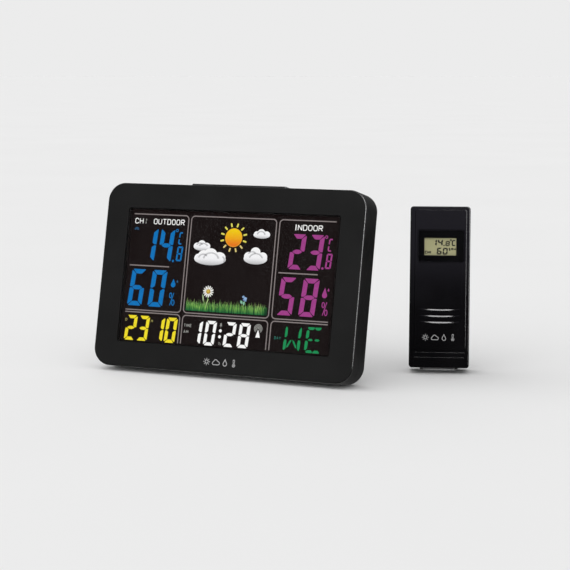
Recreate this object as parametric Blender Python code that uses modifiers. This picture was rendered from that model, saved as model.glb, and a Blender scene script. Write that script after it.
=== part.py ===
"""Home weather station: a table console with a colour segment display, and its
wireless outdoor sensor.

Row frame: +X to the right when looking at the screen, +Y away from the viewer,
+Z up. The origin is the centre of the flat under the console's rear bottom
edge, where it rests on the table. Each case has its own leaning frame, with
its front face at y = 0 and its bottom edge at z = 0. Lengths are millimetres;
MM turns them into metres where objects are made.
"""
import math

import bmesh
import bpy
from mathutils import Matrix, Vector

MM = 0.001
GAP = 0.3            # clearance between neighbouring pieces
SHARP_ANGLE = 35     # edges steeper than this stay sharp, degrees

# ---- console ---------------------------------------------------------------
CON_W, CON_H, CON_D = 195.0, 128.5, 22.0   # width, height along the slab, depth
CON_R, CON_R_SEGS = 12.5, 7   # corners seen from the front
CON_LEAN = 12.5      # lean back from upright, degrees
CON_SPLIT = 10.0     # parting line between bezel and rear cover
WALL = 2.0           # wall of both shells
BACK_IN = CON_D - WALL        # inner face of the rear cover
PLATE = 2.6          # front plate of the bezel
FLAT_START = 17.0    # depth at which the table plane meets the bottom edge
FLAT_MID = 19.1      # depth of the centre of the resting flat

LENS_W, LENS_H, LENS_T = 159.8, 93.6, 1.2
LENS_MID_Z = CON_H / 2
LENS_FRONT = 0.4
WIN_W, WIN_H = 156.8, 92.0
LCD_W, LCD_FRONT, LCD_GLASS = 162.0, 2.9, 1.0
GUIDE_W, GUIDE_FRONT, GUIDE_T = 156.0, 5.2, 2.5
LED_COUNT, LED_Z0, LED_PITCH = 6, 24.0, 16.0

SNOOZE_W, SNOOZE_Y0, SNOOZE_Y1, SNOOZE_RISE = 72.0, 6.0, 19.0, 1.8
SNOOZE_STEM_Y = 10.6          # stem and the switch under it

BUTTON_Z, BUTTON_PITCH = 108.0, 19.0
BUTTON_W, BUTTON_H, BUTTON_RISE = 12.0, 6.0, 0.7
BUTTON_NAMES = ("mode_button", "up_button", "down_button",
                "history_button", "channel_button", "alert_button")
BUTTON_XS = [(i - (len(BUTTON_NAMES) - 1) / 2) * BUTTON_PITCH
             for i in range(len(BUTTON_NAMES))]

BAY_X = 26.8                  # half width of the battery bay
BAY_XS, BAY_ZS = (-BAY_X, BAY_X), (57.2, 91.2)
BAY_FLOOR = 10.0
CELL_R, CELL_L, CELL_PITCH = 5.25, 44.5, 11.2
CELL_Y, CELL_MID_Z = 15.5, sum(BAY_ZS) / 2
CELL_SHIFT = 1.9              # each cell sits this far towards its nub
SPRING_INSET = 0.75           # bay wall to the base of a spring
SPRING_WIRE_R, SPRING_STEPS = 0.35, 9   # wire radius, points per turn

STAND_W, STAND_L, STAND_T = 69.2, 38.0, 2.2
HINGE_Y, HINGE_Z = 19.0, 8.0
STAND_OFFSET = 0.6            # hinge axis to the plate's inner face
POCKET_W = STAND_W + 3.2      # recess for the folded stand

SCREW_X, SCREW_EDGE = 87.5, 13.0        # from the middle; from top and bottom
SCREWS = [(side * SCREW_X, z) for z in (SCREW_EDGE, CON_H - SCREW_EDGE)
          for side in (-1, 1)]

BUZZER_X, BUZZER_Z = 66, 62
JACK_X, JACK_Z = -78, 26
ROD_Y, ROD_Z = 15.0, 30       # axis of the ferrite rod

# ---- outdoor sensor --------------------------------------------------------
SEN_W, SEN_H, SEN_D, SEN_R = 41.4, 111.5, 20.0, 2.2
SEN_WALL = 1.5
SEN_SPLIT = 9.7
SEN_LEAN, SEN_YAW = 9.0, 18.5           # degrees
SEN_XY = (130.2, 61.7)        # front bottom edge, centre, in the row frame
FOOT_R, FOOT_X, FOOT_T = 4.1, 12.1, 2.2  # knuckles of the stand, its feet
SEN_HINGE_Y, SEN_HINGE_Z = 16.0, 2.4
SEN_STAND_L, SEN_STAND_T, SEN_STAND_OFFSET = 38.0, 2.0, 1.8
SEN_LCD_X, SEN_LCD_Z = 0.6, 84.0        # middle of the sensor's little display
SEN_LENS_W, SEN_LENS_H = 31.4, 21.6
SEN_CELL_X, SEN_CELL_Y = 5.9, 13.2
SWITCH_X, TX_X, SWITCH_Z = -6.0, 4.9, 46.7
LOUVRE_X, LOUVRE_END, LOUVRE_BULGE = 13.3, 0.15, 0.75   # all half sizes
LOUVRE_STEPS = 8
# x, z, and the depth at which the tower in the rear case ends
SEN_SCREWS = ((-14.2, 106.0, SEN_D - SEN_WALL + 0.7),
              (14.2, 106.0, SEN_D - SEN_WALL + 0.7),
              (0.0, 25.0, 16.8))

# ---- scene set-up ----------------------------------------------------------
for old in list(bpy.data.objects):
    bpy.data.objects.remove(old, do_unlink=True)

PARTS = bpy.data.collections.new("weather_station")
CUTTERS = bpy.data.collections.new("cutters")
for group in (PARTS, CUTTERS):
    bpy.context.scene.collection.children.link(group)


def material(name, colour, roughness, metallic):
    mat = bpy.data.materials.new(name)
    mat.use_nodes = True
    inputs = mat.node_tree.nodes["Principled BSDF"].inputs
    inputs["Base Color"].default_value = (*colour, 1.0)
    inputs["Roughness"].default_value = roughness
    inputs["Metallic"].default_value = metallic
    return mat


# name: linear RGB colour, roughness, metallic
LOOKS = {
    "black_case": ((0.018, 0.018, 0.018), 0.45, 0.0),
    "lens": ((0.01, 0.009, 0.009), 0.12, 0.0),
    "lcd_glass": ((0.012, 0.010, 0.010), 0.25, 0.0),
    "acrylic": ((0.85, 0.88, 0.90), 0.2, 0.0),
    "white_plastic": ((0.75, 0.75, 0.73), 0.5, 0.0),
    "circuit_board": ((0.02, 0.16, 0.06), 0.5, 0.0),
    "flex": ((0.45, 0.22, 0.05), 0.4, 0.0),
    "rubber": ((0.05, 0.05, 0.05), 0.8, 0.0),
    "ferrite": ((0.06, 0.055, 0.05), 0.7, 0.0),
    "copper": ((0.72, 0.30, 0.14), 0.3, 1.0),
    "spring_steel": ((0.62, 0.62, 0.60), 0.3, 1.0),
    "screw_steel": ((0.30, 0.30, 0.31), 0.35, 1.0),
    "cell": ((0.05, 0.10, 0.30), 0.35, 0.0),
    "grey_lcd": ((0.42, 0.42, 0.24), 0.3, 0.0),
    "red_wire": ((0.55, 0.02, 0.02), 0.5, 0.0),
    "epoxy": ((0.02, 0.02, 0.02), 0.35, 0.0),
}
MATS = {name: material(name, *look) for name, look in LOOKS.items()}


# ---- shapes, in millimetres ------------------------------------------------
def span(width, middle=0.0):
    return (middle - width / 2, middle + width / 2)


def grown(pair, margin):
    return (pair[0] - margin, pair[1] + margin)


def box(xs, ys, zs, radius=0.0, segs=3, axis=1, low_rim=0.0, high_rim=0.0,
        rim_segs=1):
    """Box over three ranges. radius rounds the four edges along axis; low_rim
    and high_rim bevel the rims at the low and the high end of that axis."""
    ranges = (xs, ys, zs)
    bm = bmesh.new()
    bmesh.ops.create_cube(bm, size=1.0)
    bmesh.ops.scale(bm, vec=[high - low for low, high in ranges], verts=bm.verts)
    bmesh.ops.translate(bm, vec=[(low + high) / 2 for low, high in ranges],
                        verts=bm.verts)

    def bevel(edges, offset, segments):
        bmesh.ops.bevel(bm, geom=edges, offset=offset, offset_type="OFFSET",
                        segments=segments, profile=0.5, affect="EDGES")

    if radius:
        bevel([e for e in bm.edges
               if abs(e.verts[0].co[axis] - e.verts[1].co[axis]) > 1e-6],
              radius, segs)
    for width, level in zip((low_rim, high_rim), ranges[axis]):
        if width:
            bevel([e for e in bm.edges
                   if all(abs(v.co[axis] - level) < 1e-5 for v in e.verts)],
                  width, rim_segs)
    return bm


def rod(radius, x, y, z, segs, end_radius=None):
    """Cylinder or cone. The coordinate given as a (start, end) pair is its axis."""
    start, end = (Vector([c[k] if isinstance(c, tuple) else c for c in (x, y, z)])
                  for k in (0, 1))
    bm = bmesh.new()
    bmesh.ops.create_cone(bm, cap_ends=True, segments=segs, radius1=radius,
                          radius2=radius if end_radius is None else end_radius,
                          depth=(end - start).length)
    turn = Vector((0, 0, 1)).rotation_difference(end - start).to_matrix().to_4x4()
    bmesh.ops.transform(bm, matrix=Matrix.Translation((start + end) / 2) @ turn,
                        verts=bm.verts)
    return bm


def merged(shapes):
    """Several shapes that don't touch, as one mesh."""
    mesh = bpy.data.meshes.new("merged")
    out = bmesh.new()
    for bm in shapes:
        bm.to_mesh(mesh)
        out.from_mesh(mesh)
        bm.free()
    bpy.data.meshes.remove(mesh)
    return out


def curve_shape(data, weld):
    """The solid of a curve, with the rims of its caps welded."""
    curve = bpy.data.objects.new(data.name, data)
    PARTS.objects.link(curve)
    bpy.context.view_layer.update()
    shaped = curve.evaluated_get(bpy.context.evaluated_depsgraph_get())
    mesh = bpy.data.meshes.new_from_object(shaped)
    bm = bmesh.new()
    bm.from_mesh(mesh)
    bmesh.ops.remove_doubles(bm, verts=bm.verts, dist=weld)
    bpy.data.objects.remove(curve, do_unlink=True)
    bpy.data.meshes.remove(mesh)
    return bm


def add_points(spline, points):
    spline.points.add(len(points) - 1)
    for slot, point in zip(spline.points, points):
        slot.co = (*point, 1.0)


def outline_plate(points, thickness, placing):
    """Flat (u, v) outline, filled, extruded both ways and placed by a matrix."""
    data = bpy.data.curves.new("outline", "CURVE")
    data.dimensions = "2D"
    data.fill_mode = "BOTH"
    data.extrude = thickness / 2
    spline = data.splines.new("POLY")
    add_points(spline, [(u, v, 0.0) for u, v in points])
    spline.use_cyclic_u = True
    bm = curve_shape(data, weld=1e-5)
    bmesh.ops.transform(bm, matrix=placing, verts=bm.verts)
    return bm


# ---- objects ---------------------------------------------------------------
def add_object(name, data, group, parent, location=(0, 0, 0)):
    obj = bpy.data.objects.new(name, data)
    group.objects.link(obj)
    obj.location = [v * MM for v in location]
    obj.parent = parent
    return obj


def frame(name, location, rotation, parent=None):
    """Empty that carries pieces; rotation in degrees."""
    empty = add_object(name, None, PARTS, parent, location)
    empty.rotation_euler = [math.radians(v) for v in rotation]
    return empty


def to_mesh(name, bm):
    mesh = bpy.data.meshes.new(name)
    bm.to_mesh(mesh)
    bm.free()
    return mesh


def mesh_object(name, bm, group, origin, parent):
    bmesh.ops.translate(bm, vec=[-v for v in origin], verts=bm.verts)
    bmesh.ops.scale(bm, vec=(MM, MM, MM), verts=bm.verts)
    bmesh.ops.recalc_face_normals(bm, faces=bm.faces)
    return add_object(name, to_mesh(name, bm), group, parent, origin)


def part(name, bm, look, parent, origin=(0, 0, 0)):
    obj = mesh_object(name, bm, PARTS, origin, parent)
    obj.data.materials.append(MATS[look])
    obj.data.shade_smooth()
    obj.data.set_sharp_from_angle(angle=math.radians(SHARP_ANGLE))
    return obj


def boolean(target, bm, operation, name, parent):
    helper = mesh_object(name, bm, CUTTERS, (0, 0, 0), parent)
    helper.hide_render = True
    helper.display_type = "WIRE"
    mod = target.modifiers.new(name, "BOOLEAN")
    mod.operation = operation
    mod.solver = "EXACT"
    mod.object = helper


def cut(target, name, bm, in_row_frame=False):
    """Take away a shape given in the frame of target's parent or the row."""
    boolean(target, bm, "DIFFERENCE", f"{target.name}_{name}_cut",
            None if in_row_frame else target.parent)


def join(target, name, bm):
    """Add a shape given in the frame of target's parent."""
    boolean(target, bm, "UNION", f"{target.name}_{name}_join", target.parent)


def wire(name, points, radius, look, parent, resolution=1):
    """Round wire through the points, made a mesh with welded caps."""
    data = bpy.data.curves.new(name, "CURVE")
    data.dimensions = "3D"
    data.bevel_depth = radius * MM
    data.bevel_resolution = resolution
    data.use_fill_caps = True
    add_points(data.splines.new("POLY"), [[v * MM for v in p] for p in points])
    bm = curve_shape(data, weld=1e-6)
    bmesh.ops.recalc_face_normals(bm, faces=bm.faces)
    mesh = to_mesh(name, bm)
    mesh.materials.append(MATS[look])
    mesh.shade_smooth()
    add_object(name, mesh, PARTS, parent)


# radius, height: the nub, the crimped top, the can, the flat end
CELL_PROFILE = (
    (0.0, CELL_L / 2), (1.9, CELL_L / 2), (1.9, CELL_L / 2 - 0.8),
    (4.6, CELL_L / 2 - 0.8), (CELL_R, CELL_L / 2 - 1.4),
    (CELL_R, -CELL_L / 2 + 0.5), (CELL_R - 0.5, -CELL_L / 2), (0.0, -CELL_L / 2),
)
# rotation that points the nub each way
NUB_TURNS = {"+x": (0, math.pi / 2, 0), "-x": (0, -math.pi / 2, 0),
             "+z": (0, 0, 0), "-z": (math.pi, 0, 0)}


def cell(name, centre, nub, parent):
    """AAA cell, turned from its profile by a screw modifier."""
    bm = bmesh.new()
    verts = [bm.verts.new((r * MM, 0.0, z * MM)) for r, z in CELL_PROFILE]
    for start, end in zip(verts, verts[1:]):
        bm.edges.new((start, end))
    obj = add_object(name, to_mesh(name, bm), PARTS, parent, centre)
    obj.rotation_euler = NUB_TURNS[nub]
    turned = obj.modifiers.new("turned", "SCREW")
    turned.axis = "Z"
    turned.steps = turned.render_steps = 18
    turned.use_merge_vertices = True
    turned.merge_threshold = 0.00005
    obj.data.materials.append(MATS["cell"])


def spring(name, base, direction, length, base_r, tip_r, turns, parent):
    """Conical battery spring from base along a unit direction."""
    base, direction = Vector(base), Vector(direction)
    side = direction.orthogonal().normalized()
    other = direction.cross(side)
    points = []
    count = turns * SPRING_STEPS
    for i in range(count + 1):
        t = i / count
        angle = 2 * math.pi * turns * t
        r = base_r + (tip_r - base_r) * t
        points.append(base + direction * (length * t)
                      + side * (r * math.cos(angle))
                      + other * (r * math.sin(angle)))
    wire(name, points, SPRING_WIRE_R, "spring_steel", parent, resolution=0)


def screw(name, x, z, seat_y, tip_y, parent, radius=1.25, head_r=2.5, head_t=1.6):
    """Cross-slotted screw along the depth, its head towards the back."""
    obj = part(name, rod(radius, x, (tip_y, seat_y + 0.4), z, 12),
               "screw_steel", parent)
    top = seat_y + head_t
    join(obj, "head", rod(head_r, x, (seat_y, top), z, 16,
                          end_radius=head_r * 0.86))
    cut(obj, "slot_a", box(span(3, x), (top - 0.9, top + 1), span(0.6, z)))
    cut(obj, "slot_b", box(span(0.6, x), (top - 0.9, top + 1), span(3, z)))


def open_angle(axis_height, length, outer, lean_angle):
    """Degrees from folded at which a stand's outer tip corner, at length along
    the plate and outer from the hinge axis, reaches the table plane."""
    across = length * math.cos(lean_angle) - outer * math.sin(lean_angle)
    along = length * math.sin(lean_angle) + outer * math.cos(lean_angle)
    return math.degrees(math.acos(-axis_height / math.hypot(across, along))
                        - math.atan2(along, across))


# ---- console frame: leans back about its front bottom edge -----------------
lean = math.radians(CON_LEAN)
flat_mid_z = (FLAT_MID - FLAT_START) * math.tan(lean)
con_y = -(FLAT_MID * math.cos(lean) + flat_mid_z * math.sin(lean))
con_z = FLAT_MID * math.sin(lean) - flat_mid_z * math.cos(lean)
console = frame("console_frame", (0, con_y, con_z), (-CON_LEAN, 0, 0))


def console_cavity(ys):
    return box(span(CON_W - 2 * WALL), ys, (WALL, CON_H - WALL),
               radius=CON_R - WALL, segs=CON_R_SEGS)


def snooze_opening():
    return box(grown(span(SNOOZE_W), 0.4), grown((SNOOZE_Y0, SNOOZE_Y1), 0.4),
               span(8, CON_H))


# ---- front bezel -----------------------------------------------------------
bezel = part("front_bezel",
             box(span(CON_W), (0, CON_SPLIT), (0, CON_H), radius=CON_R,
                 segs=CON_R_SEGS, low_rim=1.0, rim_segs=2),
             "black_case", console)
cut(bezel, "cavity", console_cavity((PLATE, CON_SPLIT + 2)))
cut(bezel, "lens_seat",
    box(grown(span(LENS_W), GAP), (-1, LENS_FRONT + LENS_T + GAP),
        grown(span(LENS_H, LENS_MID_Z), GAP), radius=2.2, segs=2))
cut(bezel, "window", box(span(WIN_W), (-1, PLATE + 1), span(WIN_H, LENS_MID_Z)))
for i, (x, z) in enumerate(SCREWS):
    join(bezel, f"post_{i}", rod(3.1, x, (PLATE - 1, 11.2), z, 14))
    cut(bezel, f"pilot_{i}", rod(1.55, x, (4.2, 12), z, 12))
cut(bezel, "snooze", snooze_opening())

# ---- rear cover ------------------------------------------------------------
rear = part("rear_cover",
            box(span(CON_W), (CON_SPLIT + GAP, CON_D), (0, CON_H), radius=CON_R,
                segs=CON_R_SEGS, high_rim=1.6, rim_segs=2),
            "black_case", console)
THROUGH_BACK = (BACK_IN - 1, CON_D + 1)
cut(rear, "cavity", console_cavity((CON_SPLIT - 2, BACK_IN)))
# screw towers with their counterbores
for i, (x, z) in enumerate(SCREWS):
    join(rear, f"tower_{i}", rod(4.2, x, (11.5, BACK_IN + 1), z, 14))
    cut(rear, f"bore_{i}", rod(3.2, x, (13.9, CON_D + 1), z, 16))
    cut(rear, f"hole_{i}", rod(1.6, x, (10.8, 15), z, 12))
# stand recess: a shallow pocket for the plate and a trough for its barrel
join(rear, "trough_walls",
     box(span(POCKET_W + 2.8), (HINGE_Y - 4.0, BACK_IN + 0.7),
         (1.0, HINGE_Z + 5.2)))
join(rear, "pocket_walls",
     box(span(POCKET_W + 2.8), (HINGE_Y - 1.2, BACK_IN + 0.8),
         (HINGE_Z + 3.0, HINGE_Z + STAND_L + 3.4)))
cut(rear, "trough", box(span(POCKET_W), (HINGE_Y - 2.8, CON_D + 2),
                        (HINGE_Z - 3.6, HINGE_Z + 4.0)))
cut(rear, "pocket", box(span(POCKET_W), (HINGE_Y, CON_D + 3),
                        (HINGE_Z + 2.0, HINGE_Z + STAND_L + 2.0)))
cut(rear, "stand_pin", rod(1.55, span(POCKET_W + 6), HINGE_Y, HINGE_Z, 14))
# finger notch over the folded stand's tip
cut(rear, "finger",
    rod(9.0, 0, (HINGE_Y + 1.0, CON_D + 2), HINGE_Z + STAND_L + 0.5, 20))
# battery bay
join(rear, "bay_walls", box(grown(BAY_XS, 1.2), (BAY_FLOOR - 0.9, BACK_IN + 0.6),
                            grown(BAY_ZS, 1.2)))
cut(rear, "bay", box(BAY_XS, (BAY_FLOOR, CON_D + 2), BAY_ZS))
cut(rear, "cover_seat", box(grown(BAY_XS, 2.6), (CON_D - 1.3, CON_D + 2),
                            grown(BAY_ZS, 2.6), radius=2.0, segs=2))
for i, x in enumerate(BUTTON_XS):
    cut(rear, f"button_{i}",
        box(grown(span(BUTTON_W, x), GAP), (BACK_IN - 2, CON_D + 2),
            grown(span(BUTTON_H, BUTTON_Z), GAP),
            radius=BUTTON_H / 2 + GAP - 0.01, segs=4))
cut(rear, "snooze", snooze_opening())
# keyhole for a wall nail
cut(rear, "key_round", rod(3.4, 0, THROUGH_BACK, 117.0, 18))
cut(rear, "key_slot", box(span(3.6), THROUGH_BACK, (117.0, 122.4),
                          radius=1.5, segs=3))
# sounder grille (offsets from its middle), probe vents, power socket
GRILLE = ((0, 0), (3, 0), (-3, 0), (1.5, 2.6), (-1.5, 2.6), (1.5, -2.6),
          (-1.5, -2.6))
cut(rear, "grille", merged([rod(0.8, BUZZER_X + x, THROUGH_BACK, BUZZER_Z + z, 8)
                            for x, z in GRILLE]))
cut(rear, "vents", merged([box((62 + 4 * i, 63.6 + 4 * i), THROUGH_BACK, (80, 94))
                           for i in range(7)]))
cut(rear, "socket", rod(3.9, JACK_X, THROUGH_BACK, JACK_Z, 20))
# the flat that rests on the table, horizontal in the row frame
cut(rear, "table", box(grown(span(CON_W), 5), (-30, 60), (-12, 0)),
    in_row_frame=True)

# ---- display stack ---------------------------------------------------------
part("display_lens",
     box(span(LENS_W), (LENS_FRONT, LENS_FRONT + LENS_T),
         span(LENS_H, LENS_MID_Z), radius=2.0, segs=2, low_rim=0.25),
     "lens", console)
# two glass panes, the front one with a ledge below
lcd_mid = LCD_FRONT + LCD_GLASS
lcd = part("lcd_panel", box(span(LCD_W), (LCD_FRONT, lcd_mid), (12.4, 112.4)),
           "lcd_glass", console)
join(lcd, "rear", box(span(LCD_W - 0.4), (lcd_mid - 0.2, LCD_FRONT + 2 * LCD_GLASS),
                      (16.8, 112.2)))
guide_ys = (GUIDE_FRONT, GUIDE_FRONT + GUIDE_T)
part("light_guide", box(span(GUIDE_W), guide_ys, (17.6, 111.4), radius=1.0, segs=1),
     "acrylic", console)
led = part("led_strip", box((-81.2, -80.2), guide_ys, (18.0, 111.0)),
           "white_plastic", console)
for i in range(LED_COUNT):
    join(led, f"led_{i}", box((-80.5, -78.4), grown(guide_ys, -0.5),
                              span(3, LED_Z0 + LED_PITCH * i)))
tray = part("lcd_frame", box(span(166), (LCD_FRONT, 8.8), (10.6, 114.2)),
            "white_plastic", console)
cut(tray, "pocket", box(span(163.2), (LCD_FRONT - 2, 8.0), (12.0, 112.8)))
cut(tray, "ribbon_slot", box((-80.0, -36.0), (7.0, 10), (12.9, 16.2)))
cut(tray, "relief", box((-20.0, 60.0), (7.0, 10), (30.0, 48.0), radius=3, segs=2))

# side view of the folded ribbon: depth, height
RIBBON_OUTLINE = ((4.25, 13.2), (4.25, 15.2), (4.6, 15.6), (9.6, 15.6),
                  (10.5, 16.6), (10.5, 21.0), (10.9, 21.0), (10.9, 16.2),
                  (9.8, 15.15), (5.0, 15.15), (4.7, 14.7), (4.7, 13.2))
RIBBON_W, RIBBON_X = 36.0, -58.0
# outline u, v to depth, height, extruded along the width
SIDEWAYS = Matrix(((0, 0, 1, 0), (1, 0, 0, 0), (0, 1, 0, 0), (0, 0, 0, 1)))
part("lcd_ribbon",
     outline_plate(RIBBON_OUTLINE, RIBBON_W,
                   Matrix.Translation((RIBBON_X, 0, 0)) @ SIDEWAYS),
     "flex", console)

# ---- main board ------------------------------------------------------------
BOARD_BACK = 12.6             # the components sink 0.2 into the board
board = part("main_board", box((-82.0, -31.0), (11.2, 12.8), (18.0, 96.0)),
             "circuit_board", console)
join(board, "controller", rod(9.0, -55, (BOARD_BACK, 14.2), 58, 20, end_radius=7.0))
join(board, "memory", box((-76, -64), (BOARD_BACK, 14.4), (72, 80)))
join(board, "regulator", box((-44, -34), (BOARD_BACK, 14.6), (30, 42)))
join(board, "capacitor", rod(2.4, -70, (BOARD_BACK, 18.6), 48, 14))
join(board, "crystal", rod(1.6, -42, (BOARD_BACK, 18.2), 78, 12))
join(board, "connector", box((-60, -46), (BOARD_BACK, 17.0), (86, 91)))

# ---- button board and snooze switch ----------------------------------------
board = part("button_board", box(span(120), (12.4, 14.0), (102.5, 114.6)),
             "circuit_board", console)
for i, x in enumerate(BUTTON_XS):
    join(board, f"switch_{i}", box(span(6, x), (13.8, 16.3), span(6, BUTTON_Z)))
    join(board, f"plunger_{i}", rod(1.6, x, (16.0, 16.9), BUTTON_Z, 10))
click = part("snooze_switch", box(span(6), span(3, SNOOZE_STEM_Y), (108.2, 114.2)),
             "epoxy", console)
join(click, "plunger", rod(1.3, 0, SNOOZE_STEM_Y, (114.0, 115.2), 12))

# ---- radio receiver --------------------------------------------------------
receiver = part("receiver_board", box((36, 54), (13.0, 14.2), (64, 92)),
                "circuit_board", console)
join(receiver, "chip", box((39, 47), (14.0, 15.8), (68, 74)))
join(receiver, "filter", box((40, 50), (14.0, 16.4), (80, 84)))

# helical antenna, flattened in depth
AERIAL_BASE = (45, 11.0, 66)
AERIAL_R, AERIAL_FLATTEN, AERIAL_PITCH = 2.2, 0.55, 2.6
AERIAL_TURNS, AERIAL_STEPS = 8, 9
aerial = []
for i in range(AERIAL_TURNS * AERIAL_STEPS + 1):
    turns = i / AERIAL_STEPS
    angle = 2 * math.pi * turns
    aerial.append((AERIAL_BASE[0] + AERIAL_R * math.cos(angle),
                   AERIAL_BASE[1] + AERIAL_R * math.sin(angle) * AERIAL_FLATTEN,
                   AERIAL_BASE[2] + AERIAL_PITCH * turns))
wire("receiver_antenna", aerial, 0.35, "copper", console, resolution=0)

part("ferrite_rod", rod(3.5, (42, 90), ROD_Y, ROD_Z, 20), "ferrite", console)
coil = part("rod_coil", rod(4.6, (58, 76), ROD_Y, ROD_Z, 24), "copper", console)
cut(coil, "bore", rod(3.8, (50, 84), ROD_Y, ROD_Z, 24))

# ---- buzzer, temperature probe, power jack, battery lead -------------------
sounder = part("buzzer", rod(7.5, BUZZER_X, (15.6, 19.6), BUZZER_Z, 24), "epoxy",
               console)
cut(sounder, "port", rod(1.0, BUZZER_X, (17.6, 21), BUZZER_Z, 12))

probe = part("indoor_probe", rod(1.5, 74, 15.8, (84, 89), 12), "epoxy", console)
join(probe, "leg_a", rod(0.4, 73.3, 15.8, (76, 84.6), 8))
join(probe, "leg_b", rod(0.4, 74.7, 15.8, (76, 84.6), 8))

jack = part("dc_jack", box(span(10, JACK_X), (13.1, 19.2), span(10, JACK_Z)),
            "epoxy", console)
join(jack, "collar", rod(3.5, JACK_X, (18.8, 21.6), JACK_Z, 20))
cut(jack, "bore", rod(2.75, JACK_X, (14.6, 23), JACK_Z, 20))
join(jack, "pin", rod(0.9, JACK_X, (14.0, 20.6), JACK_Z, 10))

# x, y, z along the lead
BATTERY_LEAD = ((-29.6, 16.4, 84), (-31, 17.2, 85), (-34, 18.0, 87),
                (-44, 18.4, 89), (-52, 18.2, 89), (-53, 17.6, 88.6))
wire("battery_lead", BATTERY_LEAD, 0.6, "red_wire", console)

# ---- cells and their contacts ----------------------------------------------
spring_x = BAY_X - SPRING_INSET
# to the cell's flat end, less the clearance at the tip
spring_length = spring_x - (CELL_L / 2 - CELL_SHIFT) - 0.65
for i in range(3):
    z = CELL_MID_Z + (i - 1) * CELL_PITCH
    side = 1 if i % 2 == 0 else -1      # the way the nub points
    cell(f"battery_{i + 1}", (CELL_SHIFT * side, CELL_Y, z),
         "+x" if side > 0 else "-x", console)
    spring(f"battery_spring_{i + 1}", (-side * spring_x, CELL_Y, z),
           (side, 0, 0), spring_length, base_r=3.6, tip_r=2.0, turns=3,
           parent=console)
contact_z = CELL_MID_Z - CELL_PITCH     # at the lowest cell's nub
contact = part("battery_contact", box((BAY_X - 0.8, BAY_X - 0.4), span(8, CELL_Y),
                                      span(8, contact_z)),
               "spring_steel", console)
join(contact, "nub", rod(1.6, (BAY_X - 1.4, BAY_X - 0.6), CELL_Y, contact_z, 12))

# ---- case screws -----------------------------------------------------------
for i, (x, z) in enumerate(SCREWS):
    screw(f"case_screw_{i + 1}", x, z, seat_y=14.2, tip_y=5.0, parent=console)

# ---- snooze bar ------------------------------------------------------------
snooze = part("snooze_bar",
              box(span(SNOOZE_W), (SNOOZE_Y0, SNOOZE_Y1),
                  (125.2, CON_H + SNOOZE_RISE), radius=0.8, axis=2, segs=1,
                  high_rim=0.8, rim_segs=2),
              "black_case", console, (0, (SNOOZE_Y0 + SNOOZE_Y1) / 2, CON_H))
join(snooze, "flange", box(grown(span(SNOOZE_W), 1.8),
                           (SNOOZE_Y0 - 1.6, SNOOZE_Y1 - 0.1), (124.9, 126.1)))
join(snooze, "stem", rod(2.0, 0, SNOOZE_STEM_Y, (116.5, 125.8), 12))

# ---- buttons ---------------------------------------------------------------
for name, x in zip(BUTTON_NAMES, BUTTON_XS):
    cap = part(name,
               box(span(BUTTON_W, x), (19.0, CON_D + BUTTON_RISE),
                   span(BUTTON_H, BUTTON_Z), radius=BUTTON_H / 2 - 0.01,
                   segs=4, high_rim=0.4),
               "rubber", console, (x, CON_D, BUTTON_Z))
    join(cap, "flange", box(span(14.2, x), (18.6, 19.6), span(8.2, BUTTON_Z)))
    join(cap, "stem", rod(1.5, x, (17.9, 19.0), BUTTON_Z, 10))

# ---- battery cover ---------------------------------------------------------
bay_bottom, bay_top = BAY_ZS
cover = part("battery_cover",
             box(grown(BAY_XS, 2.3), (CON_D - 1.0, CON_D), grown(BAY_ZS, 2.3),
                 radius=1.7, segs=2),
             "black_case", console, (0, CON_D, CELL_MID_Z))
cut(cover, "thumb", box(span(12), (CON_D - 0.5, CON_D + 1),
                        (bay_top - 1.6, bay_top + 0.6)))
join(cover, "latch", box(span(10), (CON_D - 2.6, CON_D - 0.7),
                         (bay_top - 1.0, bay_top - 0.3)))
for side in (-1, 1):
    join(cover, f"hook_{side + 1}",
         box(span(6, side * 18), (CON_D - 2.4, CON_D - 0.7),
             (bay_bottom + 0.3, bay_bottom + 1.0)))

# ---- fold-out stand: open, its tip on the table ----------------------------
stand_outer = STAND_OFFSET + STAND_T
hinge_height = -(HINGE_Y * math.sin(lean)) + HINGE_Z * math.cos(lean) + con_z
stand_open = open_angle(hinge_height, STAND_L, stand_outer, lean)
hinge = frame("stand_hinge", (0, HINGE_Y, HINGE_Z), (-stand_open, 0, 0), console)
stand = part("stand", rod(2.4, span(STAND_W), 0, 0, 18), "black_case", hinge)
join(stand, "plate", box(span(STAND_W - 0.8), (STAND_OFFSET, stand_outer),
                         (0.0, STAND_L), radius=4.0, segs=4))
join(stand, "root", box(span(STAND_W - 0.4), (STAND_OFFSET - 0.4, stand_outer - 0.1),
                        (-0.2, 5.0)))
join(stand, "pin", rod(1.25, grown(span(STAND_W), 2.4), 0, 0, 14))
cut(stand, "notch", rod(6.0, 0, (-3, 6), STAND_L + 3.2, 20))

# ---- outdoor sensor frame: lifted so that its feet touch the table ---------
sen_lean = math.radians(SEN_LEAN)
sen_z = (FOOT_R + SEN_HINGE_Y * math.sin(sen_lean)
         - SEN_HINGE_Z * math.cos(sen_lean))
sensor_turn = frame("sensor_turn", (*SEN_XY, sen_z), (0, 0, SEN_YAW))
sensor = frame("sensor_frame", (0, 0, 0), (-SEN_LEAN, 0, 0), sensor_turn)


def sensor_cavity(ys):
    return box(span(SEN_W - 2 * SEN_WALL), ys, (SEN_WALL, SEN_H - SEN_WALL),
               radius=1.0, segs=1)


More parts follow.
